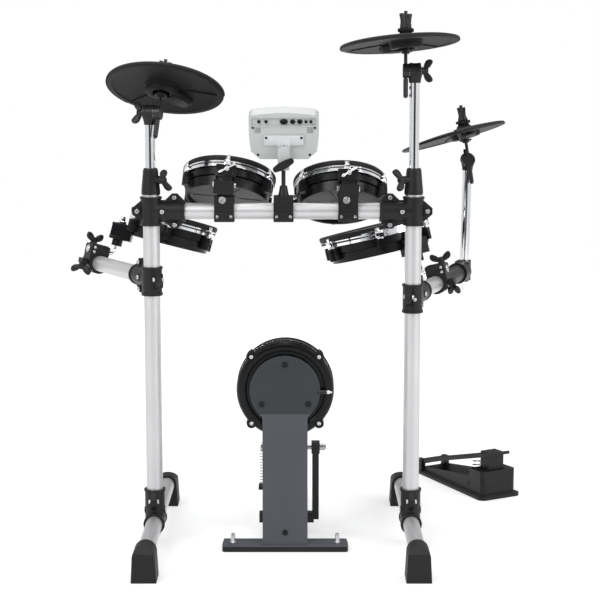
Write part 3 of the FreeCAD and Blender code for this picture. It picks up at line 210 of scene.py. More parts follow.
surface("tower_paint", (0.06, 0.064, 0.075), (0.084, 0.089, 0.103), 0.46, 0.0, 1500, bump=0.14,
        specular=0.4, edge=EDGE)
surface("spring_steel", (0.45, 0.45, 0.47), (0.64, 0.64, 0.66), 0.24, 1.0, 500, bump=0.03)
surface("cymbal_rubber", (0.01, 0.01, 0.011), (0.019, 0.019, 0.021), 0.6, 0.0, 1100, bump=0.3,
        specular=0.22)
surface("shell_plastic", (0.003, 0.0032, 0.0038), (0.008, 0.0084, 0.0096), 0.28, 0.0, 900, bump=0.05,
        specular=0.2, edge=EDGE)
woven("mesh_head", "Y")
woven("mesh_upright", "Z")
surface("cymbal_plastic", (0.007, 0.007, 0.0075), (0.015, 0.015, 0.016), 0.5, 0.0, 1500, bump=0.12,
        specular=0.16)
surface("plate_grey", (0.075, 0.079, 0.076), (0.115, 0.12, 0.116), 0.5, 0.0, 1200, specular=0.3)
# The tower's paint darkened: painted shade for the disc, whose own colour is the tower's.
surface("disc_painted_shade", (0.028, 0.032, 0.034), (0.042, 0.047, 0.05), 0.5, 0.0, 1500, bump=0.14,
        specular=0.3)
surface("bracket_silver", (0.62, 0.64, 0.65), (0.7, 0.72, 0.73), 0.4, 0.15, 1500, bump=0.06)
# Near-black painted shade: it stands for the shade inside holes and recesses, and is laid on sockets, screws
# and the jack hole.
surface("painted_hole_shade", (0.005, 0.005, 0.006), (0.012, 0.012, 0.013), 0.5, 0.0, 900, bump=0.05,
        specular=0.25)
surface("felt_grey", (0.012, 0.012, 0.013), (0.032, 0.032, 0.034), 0.95, 0.0, 700, bump=0.8,
        depth=0.0006, specular=0.15)
surface("window_glass", (0.012, 0.015, 0.014), (0.022, 0.027, 0.025), 0.12, 0.0, 400, bump=0.01)

for part in frame["record"]["subparts"]:
    target = nodes[part["node"]]
    target.data.materials.clear()
    target.data.materials.append(finishes[part["material_slot"]])


# Mesh tools. Points are in millimetres in a piece's own frame, and a place is a matrix in metres.
def placed(origin, z_way, x_way):
    z_axis = Vector(z_way).normalized()
    x_axis = Vector(x_way) - z_axis * Vector(x_way).dot(z_axis)
    x_axis.normalize()
    y_axis = z_axis.cross(x_axis)
    matrix = Matrix((x_axis, y_axis, z_axis)).transposed().to_4x4()
    matrix.translation = Vector(origin)
    return matrix


def moved(x, y, z):
    return Matrix.Translation(Vector((x, y, z)) * MILLI)


def spun(degrees, axis):
    return Matrix.Rotation(math.radians(degrees), 4, axis)


def round_edges(mesh, offset, segments, clamp=False):
    bmesh.ops.bevel(mesh, geom=mesh.edges[:], offset=offset, segments=segments, affect="EDGES",
                    profile=0.5, clamp_overlap=clamp)


class Form:
    """One piece, gathered from several closed meshes."""

    def __init__(self):
        self.mesh = bmesh.new()

    def add(self, points, faces, place):
        made = [self.mesh.verts.new(place @ (Vector(point) * MILLI)) for point in points]
        for face in faces:
            self.mesh.faces.new([made[index] for index in face])

    def take(self, other, place):
        other.verts.index_update()
        points = [tuple(vertex.co) for vertex in other.verts]
        faces = [[vertex.index for vertex in face.verts] for face in other.faces]
        other.free()
        self.add(points, faces, place)

    def turned(self, profile, place, steps, sweep=360.0, start=0.0):
        """Sweeps a closed profile of (radius, height) about local Z; a radius of 0 closes on the axis."""
        whole = sweep >= 359.9
        rings = steps if whole else steps + 1
        points = []
        for ring in range(rings):
            angle = math.radians(start + sweep * ring / steps)
            for radius, height in profile:
                points.append((radius * math.cos(angle), radius * math.sin(angle), height))
        count = len(profile)
        faces = []
        for ring in range(steps):
            after = (ring + 1) % rings
            for index in range(count):
                following = (index + 1) % count
                if profile[index][0] == 0 and profile[following][0] == 0:
                    continue
                face = [ring * count + index, after * count + index]
                face += [after * count + following, ring * count + following]
                if profile[index][0] == 0:
                    face = [face[0], face[2], face[3]]
                elif profile[following][0] == 0:
                    face = face[:3]
                faces.append(face)
        if not whole:
            faces.append(list(range(count)))
            faces.append([steps * count + index for index in range(count)])
        self.add(points, faces, place)

    def block(self, low, high, place, round_by, segments=2):
        """A box with rounded edges between two corners."""
        box = bmesh.new()
        bmesh.ops.create_cube(box, size=1.0)
        for vertex in box.verts:
            for axis in range(3):
                middle = (low[axis] + high[axis]) / 2
                vertex.co[axis] = middle + vertex.co[axis] * (high[axis] - low[axis])
        round_edges(box, round_by, segments)
        self.take(box, place)

    def slab(self, lower, upper, place, round_by, segments, clamp=False):
        """A solid between two outlines that have as many points, with rounded edges."""
        solid = bmesh.new()
        low = [solid.verts.new(point) for point in lower]
        high = [solid.verts.new(point) for point in upper]
        solid.faces.new(low)
        solid.faces.new(high)
        for index in range(len(low)):
            following = (index + 1) % len(low)
            solid.faces.new([low[index], low[following], high[following], high[index]])
        bmesh.ops.recalc_face_normals(solid, faces=solid.faces[:])
        round_edges(solid, round_by, segments, clamp)
        self.take(solid, place)

    def plate(self, outline, thickness, place, round_by, segments=2):
        """An outline in local X and Y, extruded up along Z, with rounded edges."""
        lower = [(x, y, 0.0) for x, y in outline]
        upper = [(x, y, thickness) for x, y in outline]
        self.slab(lower, upper, place, round_by, segments, True)

    def screw(self, place, radius, height, recess=0.5, steps=24):
        """A domed head on local +Z with a round recess."""
        bottom = height * 0.25
        dome = [(radius, 0), (radius, height * 0.55), (radius * 0.92, height * 0.8),
                (radius * 0.75, height), (radius * recess, height)]
        self.turned(dome + [(radius * recess * 0.96, bottom), (0, bottom), (0, 0)], place, steps)

    def finish(self, name, body, slot, look="", replaced=(), sharp=32.0):
        """Makes the piece. It looks as its slot does, unless another look is named."""
        bmesh.ops.remove_doubles(self.mesh, verts=self.mesh.verts[:], dist=1e-7)
        bmesh.ops.recalc_face_normals(self.mesh, faces=self.mesh.faces[:])
        mesh = bpy.data.meshes.new(name)
        self.mesh.to_mesh(mesh)
        self.mesh.free()
        for polygon in mesh.polygons:
            polygon.use_smooth = True
        mesh.set_sharp_from_angle(angle=math.radians(sharp))
        mesh.materials.append(finishes[look or slot])
        piece = bpy.data.objects.new(name, mesh)
        scene.collection.objects.link(piece)
        if body:
            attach(piece, body)
        if replaced:
            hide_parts(*replaced)
        return piece


def where(joint):
    return Vector(joints[joint]["pos_m"])


def way(joint):
    return Vector(joints[joint]["axis"])


def cymbal_axes(name, joint):
    """Place of a cymbal's joint, with Z up the rod and X along the tilter's axle."""
    return placed(where(f"{name}_{joint}"), way(f"{name}_nut_turn"), way(f"{name}_tilt"))


def node_points(node_name):
    mesh = nodes[node_name].data
    points = numpy.empty(len(mesh.vertices) * 3)
    mesh.vertices.foreach_get("co", points)
    return points.reshape(-1, 3)


UP = (0, 0, 1)
facing = spun(90, "X")
cymbal_names = ("crash", "ride", "hihat")

# Cymbals: bowed plate, playing rubber, bell, trigger housing and the plate that splits the underside.
RIM = 134.0
CROWN = 3.2
BOW = 10.2
UNDER = -5.0
UNDER_DROP = 7.0


def top_level(radius):
    return CROWN - BOW * (radius / RIM) ** 2


def under_level(radius):
    return UNDER - UNDER_DROP * (radius / RIM) ** 1.6


def cymbal_plate(name, pad, disc, bare):
    form = Form()
    under = [(radius, under_level(radius)) for radius in (8, 40, 70, 95, 112, 120)]
    lip = [(122, -12.4), (131, -12.6), (133.4, -11.8), (134.2, -10.2), (134.2, -8.2), (133.6, -7.1)]
    top = [(radius, top_level(radius)) for radius in (125, 105, 85, 65, 45, 25, 8)]
    form.turned(under + lip + top, disc, 96)
    half = [(radius, under_level(radius) - 0.05) for radius in (46, 70, 95, 116)]
    half += [(117.2, under_level(117) - 1.2)]
    half += [(radius, under_level(radius) - 2.0) for radius in (116, 95, 70, 46)]
    form.turned(half, disc, 60, bare[1], bare[0])
    bell = [(9.6, 17.6), (12.0, 16.0), (14.5, 13.8), (16.6, 11.2), (18.4, 8.4), (20.6, 6.2), (24.0, 4.7),
            (30.0, 3.4), (37.0, 1.4), (40.2, -0.6), (40.6, -3.0), (40.6, -6.2), (39.4, -8.2), (37.0, -9.2),
            (16.0, -9.2), (14.4, -8.4), (14.2, 0.0), (12.6, 6.4), (10.4, 9.7), (9.6, 10.8)]
    form.turned(bell, pad, 64)
    form.finish(f"{name}_plate", f"{name}_cymbal", "cymbal_rubber", "cymbal_plastic", [f"{name}_pad"])


def cymbal_skin(name, disc, inner, wrap):
    """Playing rubber with fine grooves, turned down over the rim."""
    form = Form()
    skin = [(radius, top_level(radius) + 0.15) for radius in (inner, 95, 115, 128)]
    skin += [(134.3, -6.8), (134.5, -11.6), (135.3, -12.0), (136.0, -11.2), (136.2, -8.6), (135.6, -6.6),
             (134.0, -4.9)]
    groove = 130.0
    ridge = 0.0
    while groove > inner + 3:
        skin.append((groove, top_level(groove) + 2.5 + ridge))
        ridge = 0.35 - ridge
        groove -= 2.2
    skin.append((inner, top_level(inner) + 2.2))
    form.turned(skin, disc, 72, wrap[1], wrap[0])
    form.finish(f"{name}_rubber", f"{name}_cymbal", "cymbal_rubber")


def cymbal_housing(name, pad, turn):
    """Trigger housing under the pad, with a collar round the bell and a jack in its end."""
    form = Form()
    housing = pad @ spun(turn, "Z")
    root = 20
    outline = [(root, -25), (60, -25), (84, -20), (92, -12), (92, 12), (84, 20), (60, 25), (root, 25)]
    lower = [(root + (x - root) * 0.9, y * 0.82, -24.0 if x < 70 else -20.0) for x, y in outline]
    upper = [(x, y, -6.5) for x, y in outline]
    form.slab(lower, upper, housing, 2.4, 3)
    collar = [(38, -8), (37, -18), (35.5, -20.5), (31, -21.5), (23, -21.5), (20, -19.5), (19, -8)]
    form.turned(collar, pad, 56)
    jack = housing @ moved(88, 0, -14) @ spun(90, "Y")
    form.turned([(5.5, -2), (5.5, 3.0), (4.9, 3.6), (3.4, 3.6), (3.2, -1.5), (0, -1.5), (0, -2)], jack, 24)
    form.finish(f"{name}_housing", f"{name}_cymbal", "cymbal_rubber", "cymbal_plastic")


def cymbal(name, lean, shift, housing_turn, bare, wrap):
    """shift moves the disc off its bell; bare and wrap are the start and sweep of plate and rubber."""
    pad = cymbal_axes(name, "sway") @ spun(lean[0], "X") @ spun(lean[1], "Y")
    disc = pad @ moved(shift[0], shift[1], 0)
    cymbal_plate(name, pad, disc, bare)
    cymbal_skin(name, disc, 44 + math.hypot(*shift), wrap)
    cymbal_housing(name, pad, housing_turn)


cymbal("crash", lean=(0, 0), shift=(8.5, 0), housing_turn=60, bare=(14.0, 134.0), wrap=(148.0, 226.0))
cymbal("ride", lean=(0, 4.5), shift=(14.0, 0), housing_turn=302, bare=(221.0, 122.0), wrap=(343.0, 238.0))
cymbal("hihat", lean=(6.5, -7.2), shift=(0, -32.0), housing_turn=0, bare=(8.0, 180.0), wrap=(0.0, 200.0))


# Flared wing nuts above the cymbals.
def flared_nut(name):
    place = cymbal_axes(name, "nut_turn") @ spun(25, "Z")
    form = Form()
    form.turned([(4.3, 0), (12.2, 0), (13.0, 1.2), (12.6, 3.4), (10.4, 9.0), (8.8, 15.0), (8.4, 22.0),
                 (7.2, 24.0), (4.3, 24.0)], place, 40)
    petal = [(4.6, 3), (12.6, 1.6), (13.2, 4), (11.8, 13), (12.6, 22), (14.8, 31.6), (14.4, 33.6),
             (12.2, 34.2), (4.6, 33.4)]
    thick = 8.8
    for side in (0, 180):
        upright = place @ spun(side, "Z") @ facing @ moved(0, 0, -thick / 2)
        form.plate(petal, thick, upright, 1.6, 3)
    form.finish(f"{name}_flared_nut", f"{name}_nut", "clamp_plastic", replaced=[f"{name}_wing_nut"],
                sharp=50.0)


for cymbal_name in cymbal_names:
    flared_nut(cymbal_name)


# Cymbal posts: black hub and neck, studs, and the felt under each nut.
def post_dress(name, lift, stud_side):
    """lift raises the felt to the cymbal; stud_side is 1, -1 or 0 for no studs."""
    hub = placed(where(f"{name}_tilt"), way(f"{name}_tilt"), UP)
    post = placed(where(f"{name}_tilt"), way(f"{name}_height"), (1, 0, 0))
    form = Form()
    form.turned([(16.2, -12.8), (17.3, -12.8), (18.0, -12.1), (18.2, -6.0), (17.4, -5.4), (17.4, 5.4),
                 (18.2, 6.0), (18.0, 12.1), (17.3, 12.8), (16.2, 12.8)], hub, 56)
    form.turned([(12.2, -27.0), (13.0, -27.0), (13.4, -26.4), (13.9, -20.0), (15.4, -13.0), (16.6, -8.0),
                 (12.2, -8.0)], post, 48)
    for level in (-38.0, -55.0) if stud_side else ():
        stud = post @ moved(0, 0, level) @ spun(90 * stud_side, "Y")
        form.turned([(0, 9.4), (4.2, 9.4), (4.2, 11.4), (3.6, 12.2), (0, 12.4)], stud, 24)
    form.finish(f"{name}_hub_cover", f"{name}_post", "clamp_plastic")
    felt = cymbal_axes(name, "tilt") @ moved(21, 0, 90 + lift)
    form = Form()
    form.turned([(4.5, -0.05), (17.6, -0.05), (18.3, -0.7), (18.5, -3.2), (18.3, -6.0), (17.4, -6.7),
                 (14.2, -7.0), (13.9, -7.6), (13.9, -9.4), (4.5, -9.4)], felt, 48)
    form.finish(f"{name}_felt", f"{name}_tilter", "cymbal_rubber", "felt_grey")


post_dress("crash", lift=2.0, stud_side=1)
post_dress("ride", lift=4.5, stud_side=-1)
post_dress("hihat", lift=11.0, stud_side=0)

# Drum pads. Radii of the rims, and the depth of the pads that hang on the rack.
SMALL_RADIUS = 110.0
LARGE_RADIUS = 136.0
KICK_RADIUS = 113.0
PAD_DEPTH = 69.0


def rim_frame(node_name, up, x_way):
    """Place of a head: its rim's middle at the top of the rim, with Z up through the playing face."""
    rim_share = 0.93
    crown = 0.001
    points = node_points(node_name)
    middle = (points.min(axis=0) + points.max(axis=0)) / 2
    for _ in range(4):
        reach = numpy.linalg.norm(points - middle, axis=1)
        rim = points[reach > reach.max() * rim_share]
        middle = (rim.min(axis=0) + rim.max(axis=0)) / 2
    _, _, axes = numpy.linalg.svd(rim - rim.mean(axis=0))
    normal = Vector(axes[2])
    if normal.dot(Vector(up)) < 0:
        normal.negate()
    heights = (points - rim.mean(axis=0)) @ numpy.array(normal)
    origin = Vector(rim.mean(axis=0)) + normal * (float(heights.max()) - crown)
    return placed(origin, normal, x_way)


def woven_head(name, body, radius, place, look):
    """Crowned mesh cloth, and the black rubber in and under its rim."""
    form = Form()
    edge = radius - 12.6
    crown = 0.7
    shares = (0.0, 0.35, 0.7, 0.9, 1.0)
    cloth = [(edge * share, -3.4 + crown * (1 - share * share)) for share in shares]
    cloth += [(edge * share, -4.3 + crown * (1 - share * share)) for share in reversed(shares)]
    form.turned(cloth, place, 72)
    piece = form.finish(f"{name}_mesh_cloth", body, "mesh_head", look, [f"{name}_head"])
    form = Form()
    form.turned([(edge - 0.2, -2.0), (edge - 0.2, -24), (radius - 10.4, -24), (radius - 10.4, -20.3),
                 (radius - 11.9, -20.3), (radius - 11.9, -2.0)], place, 72)
    rounded = [(radius - 11.2, -1.2), (radius - 11.2, -7.6), (radius - 9.8, -9.0), (radius - 0.4, -9.0),
               (radius, -8.4), (radius, -2.8), (radius - 0.5, -1.2), (radius - 1.8, 0.2),
               (radius - 3.6, 0.9), (radius - 5.6, 1.0), (radius - 8.4, 0.9), (radius - 10.2, 0.2)]
    form.turned(rounded, place, 96)
    for high, low, out in ((-8.8, -12.8, 1.3), (-15.6, -19.4, 1.6)):
        form.turned([(radius - 3.4, high), (radius - out - 0.5, high), (radius - out, high - 0.5),
                     (radius - out, low + 0.5), (radius - out - 0.5, low), (radius - 3.4, low)], place, 96)
    form.finish(f"{name}_rim_rubber", body, "foot_rubber", sharp=40.0)


def lug_dress(name, body, radius, angles, place):
    """Chrome claw covers, rod heads and swivel nuts, and a fluted column, at each lug."""
    claws = Form()
    columns = Form()
    for angle in angles:
        spot = place @ spun(angle, "Z") @ moved(radius, 0, 0) @ spun(-90, "Z")
        claws.block((-7.4, -8.2, -26.6), (7.4, 5.6, -14.6), spot, 1.4, 3)
        claws.block((-5.4, -0.6, -26.0), (5.4, 2.4, -3.4), spot, 1.1, 3)
        claws.turned([(0, -15), (6.2, -15), (6.6, -14.2), (6.6, -12.4), (4.2, -11.6), (4.2, -6.4),
                      (3.4, -5.6), (0, -5.6)], spot @ moved(0, -1.0, 0), 24)
        claws.turned([(0, -31.5), (4.8, -31.5), (5.2, -30.5), (5.2, -27.5), (4.2, -26.5), (0, -26.5)],
                     spot, 24)
        column = spot @ moved(0, -1.5, 0)
        columns.turned([(0, -61), (7.8, -61), (8.8, -60), (8.8, -56), (7.6, -54.6), (7.6, -36.4), (8.6, -35),
                        (8.6, -31.4), (7.4, -30), (0, -30)], column, 32)
        for flute in range(7):
            columns.block((7.0, -1.0, -55), (8.7, 1.0, -36), column @ spun(30 * flute, "Z"), 0.5)
    claws.finish(f"{name}_claw_covers", body, "bright_chrome")
    columns.finish(f"{name}_lug_ends", body, "shell_plastic")


def base_plate(name, body, radius, place):
    """The grey plate in the bottom of a pad, with its boss and ribs."""
    form = Form()
    level = -PAD_DEPTH + 10.0
    edge = radius - 20.6
    form.turned([(0, level + 0.4), (edge, level + 0.4), (edge, level - 1.0), (edge - 1.5, level - 1.6),
                 (edge - 6, level - 1.6), (edge - 7, level - 0.8), (26, level - 0.8), (24, level - 2.6),
                 (17, level - 2.6), (16, level - 1.2), (0, level - 1.2)], place, 72)
    for index in range(6):
        spoke = place @ spun(60 * index, "Z")
        form.block((28, -1.6, level - 2.4), (edge - 8, 1.6, level), spoke, 0.6)
    form.finish(f"{name}_base_plate", body, "shell_plastic", "plate_grey")


def lug_angles(first, count):
    return [first + 360 // count * index for index in range(count)]


tom_1_place = rim_frame("tom_1_head", UP, way("tom_1_tilt"))
tom_2_place = rim_frame("tom_2_head", UP, way("tom_2_tilt"))
floor_place = rim_frame("floor_tom_head", way("floor_tom_turn"), way("floor_tom_tilt"))
snare_place = rim_frame("snare_head", way("snare_turn"), way("snare_tilt"))
kick_place = rim_frame("kick_head", (0, 1, 0), (1, 0, 0))
kick_angles = lug_angles(45, 4)
pads = (
    ("tom_1", "tom_1", SMALL_RADIUS, lug_angles(-90, 6), tom_1_place, "mesh_head"),
    ("tom_2", "tom_2", SMALL_RADIUS, lug_angles(-90, 6), tom_2_place, "mesh_head"),
    ("floor_tom", "floor_tom", SMALL_RADIUS, lug_angles(120, 6), floor_place, "mesh_head"),
    ("snare", "snare", LARGE_RADIUS, lug_angles(113, 6), snare_place, "mesh_head"),
    ("kick", "rack", KICK_RADIUS, kick_angles, kick_place, "mesh_upright"),
)
for pad_name, pad_body, pad_radius, pad_angles, pad_place, pad_look in pads:
    woven_head(pad_name, pad_body, pad_radius, pad_place, pad_look)
    lug_dress(pad_name, pad_body, pad_radius, pad_angles, pad_place)
    if pad_name != "kick":
        base_plate(pad_name, pad_body, pad_radius, pad_place)

# Module: sockets, screws, bracket and lines on its back; window and keys on its face.
MODULE_FOOT = (-2, 45.5, 904)
MODULE_TILT = 24.0
PANEL_FACE = 37.0
module_back = moved(*MODULE_FOOT) @ spun(MODULE_TILT, "X")


def back_spot(x, z, y):
    return module_back @ moved(x, y, z) @ facing


# The sockets and the case and bracket screws are near-black: painted shade of their holes.
form = Form()
for socket_x, ring, wide in ((-56, 3.6, 1.0), (-40, 3.6, 1.0), (0, 6.2, 1.5), (20, 5.0, 1.2), (36, 5.0, 1.2),
                             (50, 3.4, 1.0), (61, 3.4, 1.0)):
    socket = back_spot(socket_x, 92.5, 4.2) @ Matrix.Diagonal((wide, 1.0, 1.0, 1.0))
    form.turned([(ring, 0), (ring, 3.0), (ring - 0.6, 3.6), (ring * 0.62, 3.6), (ring * 0.58, 0.6), (0, 0.6),
                 (0, 0)], socket, 28)
form.finish("module_sockets", "module", "panel_plastic", "painted_hole_shade")
form = Form()
for screw_x, screw_z in ((-70, 79), (70, 79), (-59, 11), (59, 11)):
    form.screw(back_spot(screw_x, screw_z, 0.3), 3.0, 1.6, 0.45, 20)
form.finish("module_case_screws", "module", "black_steel", "painted_hole_shade")
form = Form()
for screw_x in (-40, 40):
    form.screw(back_spot(screw_x, 56, -4.5), 3.0, 1.6, 0.5, 20)
form.finish("module_bracket_screws", "module", "black_steel", "painted_hole_shade")
form = Form()
form.block((-44.6, -4.7, 36.4), (44.6, -3.0, 61.6), module_back, 0.7)
form.block((-14.6, -4.9, 4.6), (14.6, -3.0, 50.0), module_back, 0.7)
form.finish("module_bracket_face", "module", "silver_plastic", "bracket_silver")
form = Form()
form.turned([(0, 0), (7.6, 0), (7.6, 1.4), (6.8, 2.0), (5.2, 2.2), (5.0, 3.6), (4.2, 4.2), (0, 4.2)],
            back_spot(0, 30, -4.6), 32)
form.finish("module_stem_screw", "module", "bright_bolt")
form = Form()
form.block((-72, -0.9, 103.2), (72, 1.0, 104.6), module_back, 0.4)
form.block((-72, -0.9, 80.4), (72, 1.0, 82.0), module_back, 0.4)
for rib in range(9):
    rib_z = 66.5 + 1.5 * rib
    form.block((-66, -0.7, rib_z), (-52, 0.8, rib_z + 0.7), module_back, 0.2, 1)
    form.block((52, -0.7, rib_z), (66, 0.8, rib_z + 0.7), module_back, 0.2, 1)
form.finish("module_back_lines", "module", "silver_plastic")
form = Form()
form.block((-40, PANEL_FACE - 0.6, 76), (24, PANEL_FACE + 1.2, 98), module_back, 0.9, 3)
form.finish("module_window", "module", "panel_plastic", "window_glass")
form = Form()
key_spots = [(-48 + 16 * key, row_z, 6) for row_z in (34, 20) for key in range(7)]
key_spots += [(50, 86, 14), (50, 66, 14)]
for key_x, key_z, half in key_spots:
    form.block((key_x - half, PANEL_FACE - 0.5, key_z - 4), (key_x + half, PANEL_FACE + 2.4, key_z + 4),
               module_back, 1.2, 3)
form.finish("module_keys", "module", "silver_plastic")

# Tee clamps: bolts, the boss at the crotch of each tee, and ribs on the sleeves of the arms.
POST_LEFT = -306.0
POST_RIGHT = 294.0
POST_Y = 39.5
BAR_Z = 786.0
FOOT_Z = 56
LEFT_HEADING = 120
RIGHT_HEADING = 70
tee_bolts = ((-31.0, 0.0), (54.0, 31.0), (54.0, -31.0))
tee_washer = [(8.2, 0), (8.2, 1.4), (7.6, 2.0), (5.6, 2.0), (5.2, 0.4), (5.2, 0)]
base_turn = Matrix(((0, 1, 0, 0), (0, 0, 1, 0), (1, 0, 0, 0), (0, 0, 0, 1)))


def arm_place(joint, heading):
    angle = math.radians(heading)
    return placed(where(joint), UP, (math.cos(angle), math.sin(angle), 0))


left_arm_place = arm_place("left_arm_swing", LEFT_HEADING)
right_arm_place = arm_place("right_arm_swing", RIGHT_HEADING)
rack_tees = [moved(POST_LEFT, POST_Y, BAR_Z), moved(POST_RIGHT, POST_Y, BAR_Z) @ spun(180, "Y"),
             moved(POST_LEFT, POST_Y, FOOT_Z) @ base_turn, moved(POST_RIGHT, POST_Y, FOOT_Z) @ base_turn]


def tee_dress(name, body, places):
    bolts = Form()
    bosses = Form()
    for place in places:
        for side in (-1, 1):
            outward = spun(-90 * side, "X")
            for bolt_x, bolt_z in tee_bolts:
                bolts.screw(place @ moved(bolt_x, side * 9.0, bolt_z) @ outward, 5.4, 3.0, 0.48)
                washer = place @ moved(bolt_x, side * 5.9, bolt_z) @ outward
                bosses.turned(tee_washer, washer, 28)
            crotch = place @ moved(27.0, side * 19.5, 0) @ outward
            bosses.turned([(0, 0), (9.4, 0), (9.4, 3.6), (8.6, 4.6), (0, 4.6)], crotch, 32)
            bolts.screw(crotch @ moved(0, 0, 4.2), 5.0, 2.6, 0.48)
    bolts.finish(f"{name}_bolt_heads", body, "bright_bolt")
    bosses.finish(f"{name}_bolt_bosses", body, "clamp_plastic")


def tee_ribs(name, body, place, middle):
    """Raised bands and a diamond pad on the side of a sleeve that faces away from its leg."""
    form = Form()
    for low in (-33.0, -24.0, -15.0, -6.0, 3.0, 12.0, 19.0):
        form.turned([(22.6, low), (24.6, low), (25.0, low + 0.5), (25.0, low + 2.5), (24.6, low + 3.0),
                     (22.6, low + 3.0)], place, 16, 44.0, middle - 40.0)
    pad = place @ spun(middle + 16.0, "Z") @ moved(22.6, 0, -7) @ spun(90, "Y")
    form.plate([(-17, 0), (0, -8.5), (17, 0), (0, 8.5)], 3.4, pad, 0.9)
    form.finish(f"{name}_sleeve_ribs", body, "clamp_plastic")
    form = Form()
    form.screw(pad @ moved(0, 0, 3.2), 4.2, 2.2, 0.48)
    form.finish(f"{name}_sleeve_screw", body, "bright_bolt")


tee_ribs("left_arm_tee", "left_arm", left_arm_place, middle=218.0)
tee_ribs("right_arm_tee", "right_arm", right_arm_place, middle=192.0)
tee_dress("rack_tee", "rack", rack_tees)
tee_dress("left_arm_tee", "left_arm", [left_arm_place])
tee_dress("right_arm_tee", "right_arm", [right_arm_place])


# Wing screws: flanged hub with two rounded lobes.
def wing(form, place):
    form.turned([(0, 0), (9.2, 0), (9.2, 2.6), (8.0, 3.6), (7.4, 9.0), (6.6, 15.6), (5.4, 16.6), (0, 16.6)],
                place, 28)
    lobe = [(3.5, 5.5), (9.0, 5.2), (21.0, 9.6), (25.4, 15.0), (26.2, 20.5), (23.6, 26.2), (19.0, 27.0),
            (12.5, 23.5), (8.5, 19.5), (3.5, 16.0)]
    thick = 9.2
    for side in (0, 180):
        form.plate(lobe, thick, place @ spun(side, "Z") @ facing @ moved(0, 0, -thick / 2), 2.4, 3)


def collar_wing(name):
    form = Form()
    joint = f"{name}_collar_turn"
    seat = placed(where(joint), way(joint), (0, 0, -1)) @ spun(24, "Z")
    wing(form, seat)
    form.turned([(0, -15.5), (4, -15.5), (4, 0.5), (0, 0.5)], seat, 20)
    form.finish(f"{name}_collar_lobes", f"{name}_collar_wing", "clamp_plastic",
                replaced=[f"{name}_collar_wing"], sharp=50.0)


def tilter_wing(name):
    form = Form()
    wing(form, cymbal_axes(name, "tilt") @ moved(-13.4, 0, 0) @ spun(-90, "Y"))
    form.finish(f"{name}_tilter_lobes", f"{name}_tilter", "clamp_plastic", sharp=50.0)


def arm_clamp(name, spot):
    """Wings, cheeks and cap of the clamp that holds a pad's rod, and the bright rings and bolts on it."""
    form = Form()
    wing(form, spot @ moved(-21, 0, 44.0) @ spun(20, "Z"))
    wing(form, spot @ moved(-36, 0, -8.0) @ spun(180, "X") @ spun(45, "Z"))
    form.block((-31.0, -20.4, 20.0), (19.0, -17.0, 42.5), spot, 1.6, 3)
    form.block((-31.0, 17.0, 20.0), (19.0, 20.4, 42.5), spot, 1.6, 3)
    form.block((-26.5, -14.0, 43.0), (16.0, 14.0, 46.0), spot, 1.4, 3)
    form.finish(f"{name}_clamp_lobes", name, "clamp_plastic", sharp=50.0)
    form = Form()
    for rod_x, rod_way in ((-30.2, -90), (18.2, 90)):
        ring = spot @ moved(rod_x, 0, 30) @ spun(rod_way, "Y")
        form.turned([(5.0, 0), (9.6, 0), (9.6, 2.0), (8.8, 3.0), (6.4, 3.4), (5.0, 3.4)], ring, 32)
    for bolt_z in (25.5, 36.5):
        for side in (-1, 1):
            bolt = spot @ moved(-22.0, side * 20.2, bolt_z) @ spun(-90 * side, "X")
            form.screw(bolt, 3.6, 2.2, 0.5, 20)
    form.finish(f"{name}_clamp_rings", name, "bright_bolt")


for wing_name in ("crash", "ride"):
    collar_wing(wing_name)
for wing_name in cymbal_names:
    tilter_wing(wing_name)
FLOOR_TOM_REACH = 328
FLOOR_TOM_LEAN = 16.5
SNARE_REACH = 222
SNARE_LEAN = 14.0
floor_tom_clamp = left_arm_place @ moved(FLOOR_TOM_REACH, 0, 0) @ spun(-90, "Z")
arm_clamp("left_arm", floor_tom_clamp @ spun(FLOOR_TOM_LEAN, "Y"))
snare_clamp = right_arm_place @ moved(SNARE_REACH, 0, 0) @ spun(90, "Z")
arm_clamp("right_arm", snare_clamp @ spun(SNARE_LEAN, "Y"))

# Black sleeve on the right arm, from the pad clamp to the clamp of the hi-hat post.
SLEEVE_START = 246
SLEEVE_END = 448
SLEEVE_COLLAR = 8
SLEEVE_BORE = 19.3
form = Form()
sleeve = [(SLEEVE_BORE, SLEEVE_START), (22.0, SLEEVE_START), (22.6, SLEEVE_START + 1),
          (22.6, SLEEVE_START + SLEEVE_COLLAR - 1), (21.6, SLEEVE_START + SLEEVE_COLLAR),
          (21.6, SLEEVE_END - SLEEVE_COLLAR), (22.6, SLEEVE_END - SLEEVE_COLLAR + 1),
          (22.6, SLEEVE_END - 1), (22.0, SLEEVE_END), (SLEEVE_BORE, SLEEVE_END)]
form.turned(sleeve, right_arm_place @ spun(90, "Y"), 48)
form.finish("right_arm_sleeve", "right_arm", "clamp_plastic")


# Arm pad brackets: rounded plates above and below, and the chrome cap over the rod.
def arm_bracket(name, radius, place, angle):
    middle = radius + 14.0
    spot = place @ spun(angle, "Z")
    form = Form()
    for low, high in ((-88.2, -80.0), (-54.0, -47.4)):
        form.block((radius - 4.0, -25.2, low), (middle + 21.2, 25.2, high), spot, 2.0, 3)
    form.finish(f"{name}_bracket_plates", name, "shell_plastic")
    form = Form()
    cap = spot @ moved(middle, 0, -47.6)
    form.turned([(0, 0), (10.0, 0), (10.0, 5.4), (9.0, 6.6), (6.4, 7.0), (6.0, 14.0), (5.0, 15.2),
                 (0, 15.2)], cap, 6)
    form.turned([(0, 6.0), (5.2, 6.0), (5.2, 18.0), (4.2, 19.2), (0, 19.2)], cap, 28)
    form.finish(f"{name}_bracket_cap", name, "bright_chrome")


arm_bracket("floor_tom", SMALL_RADIUS, floor_place, angle=150)
arm_bracket("snare", LARGE_RADIUS, snare_place, angle=143)


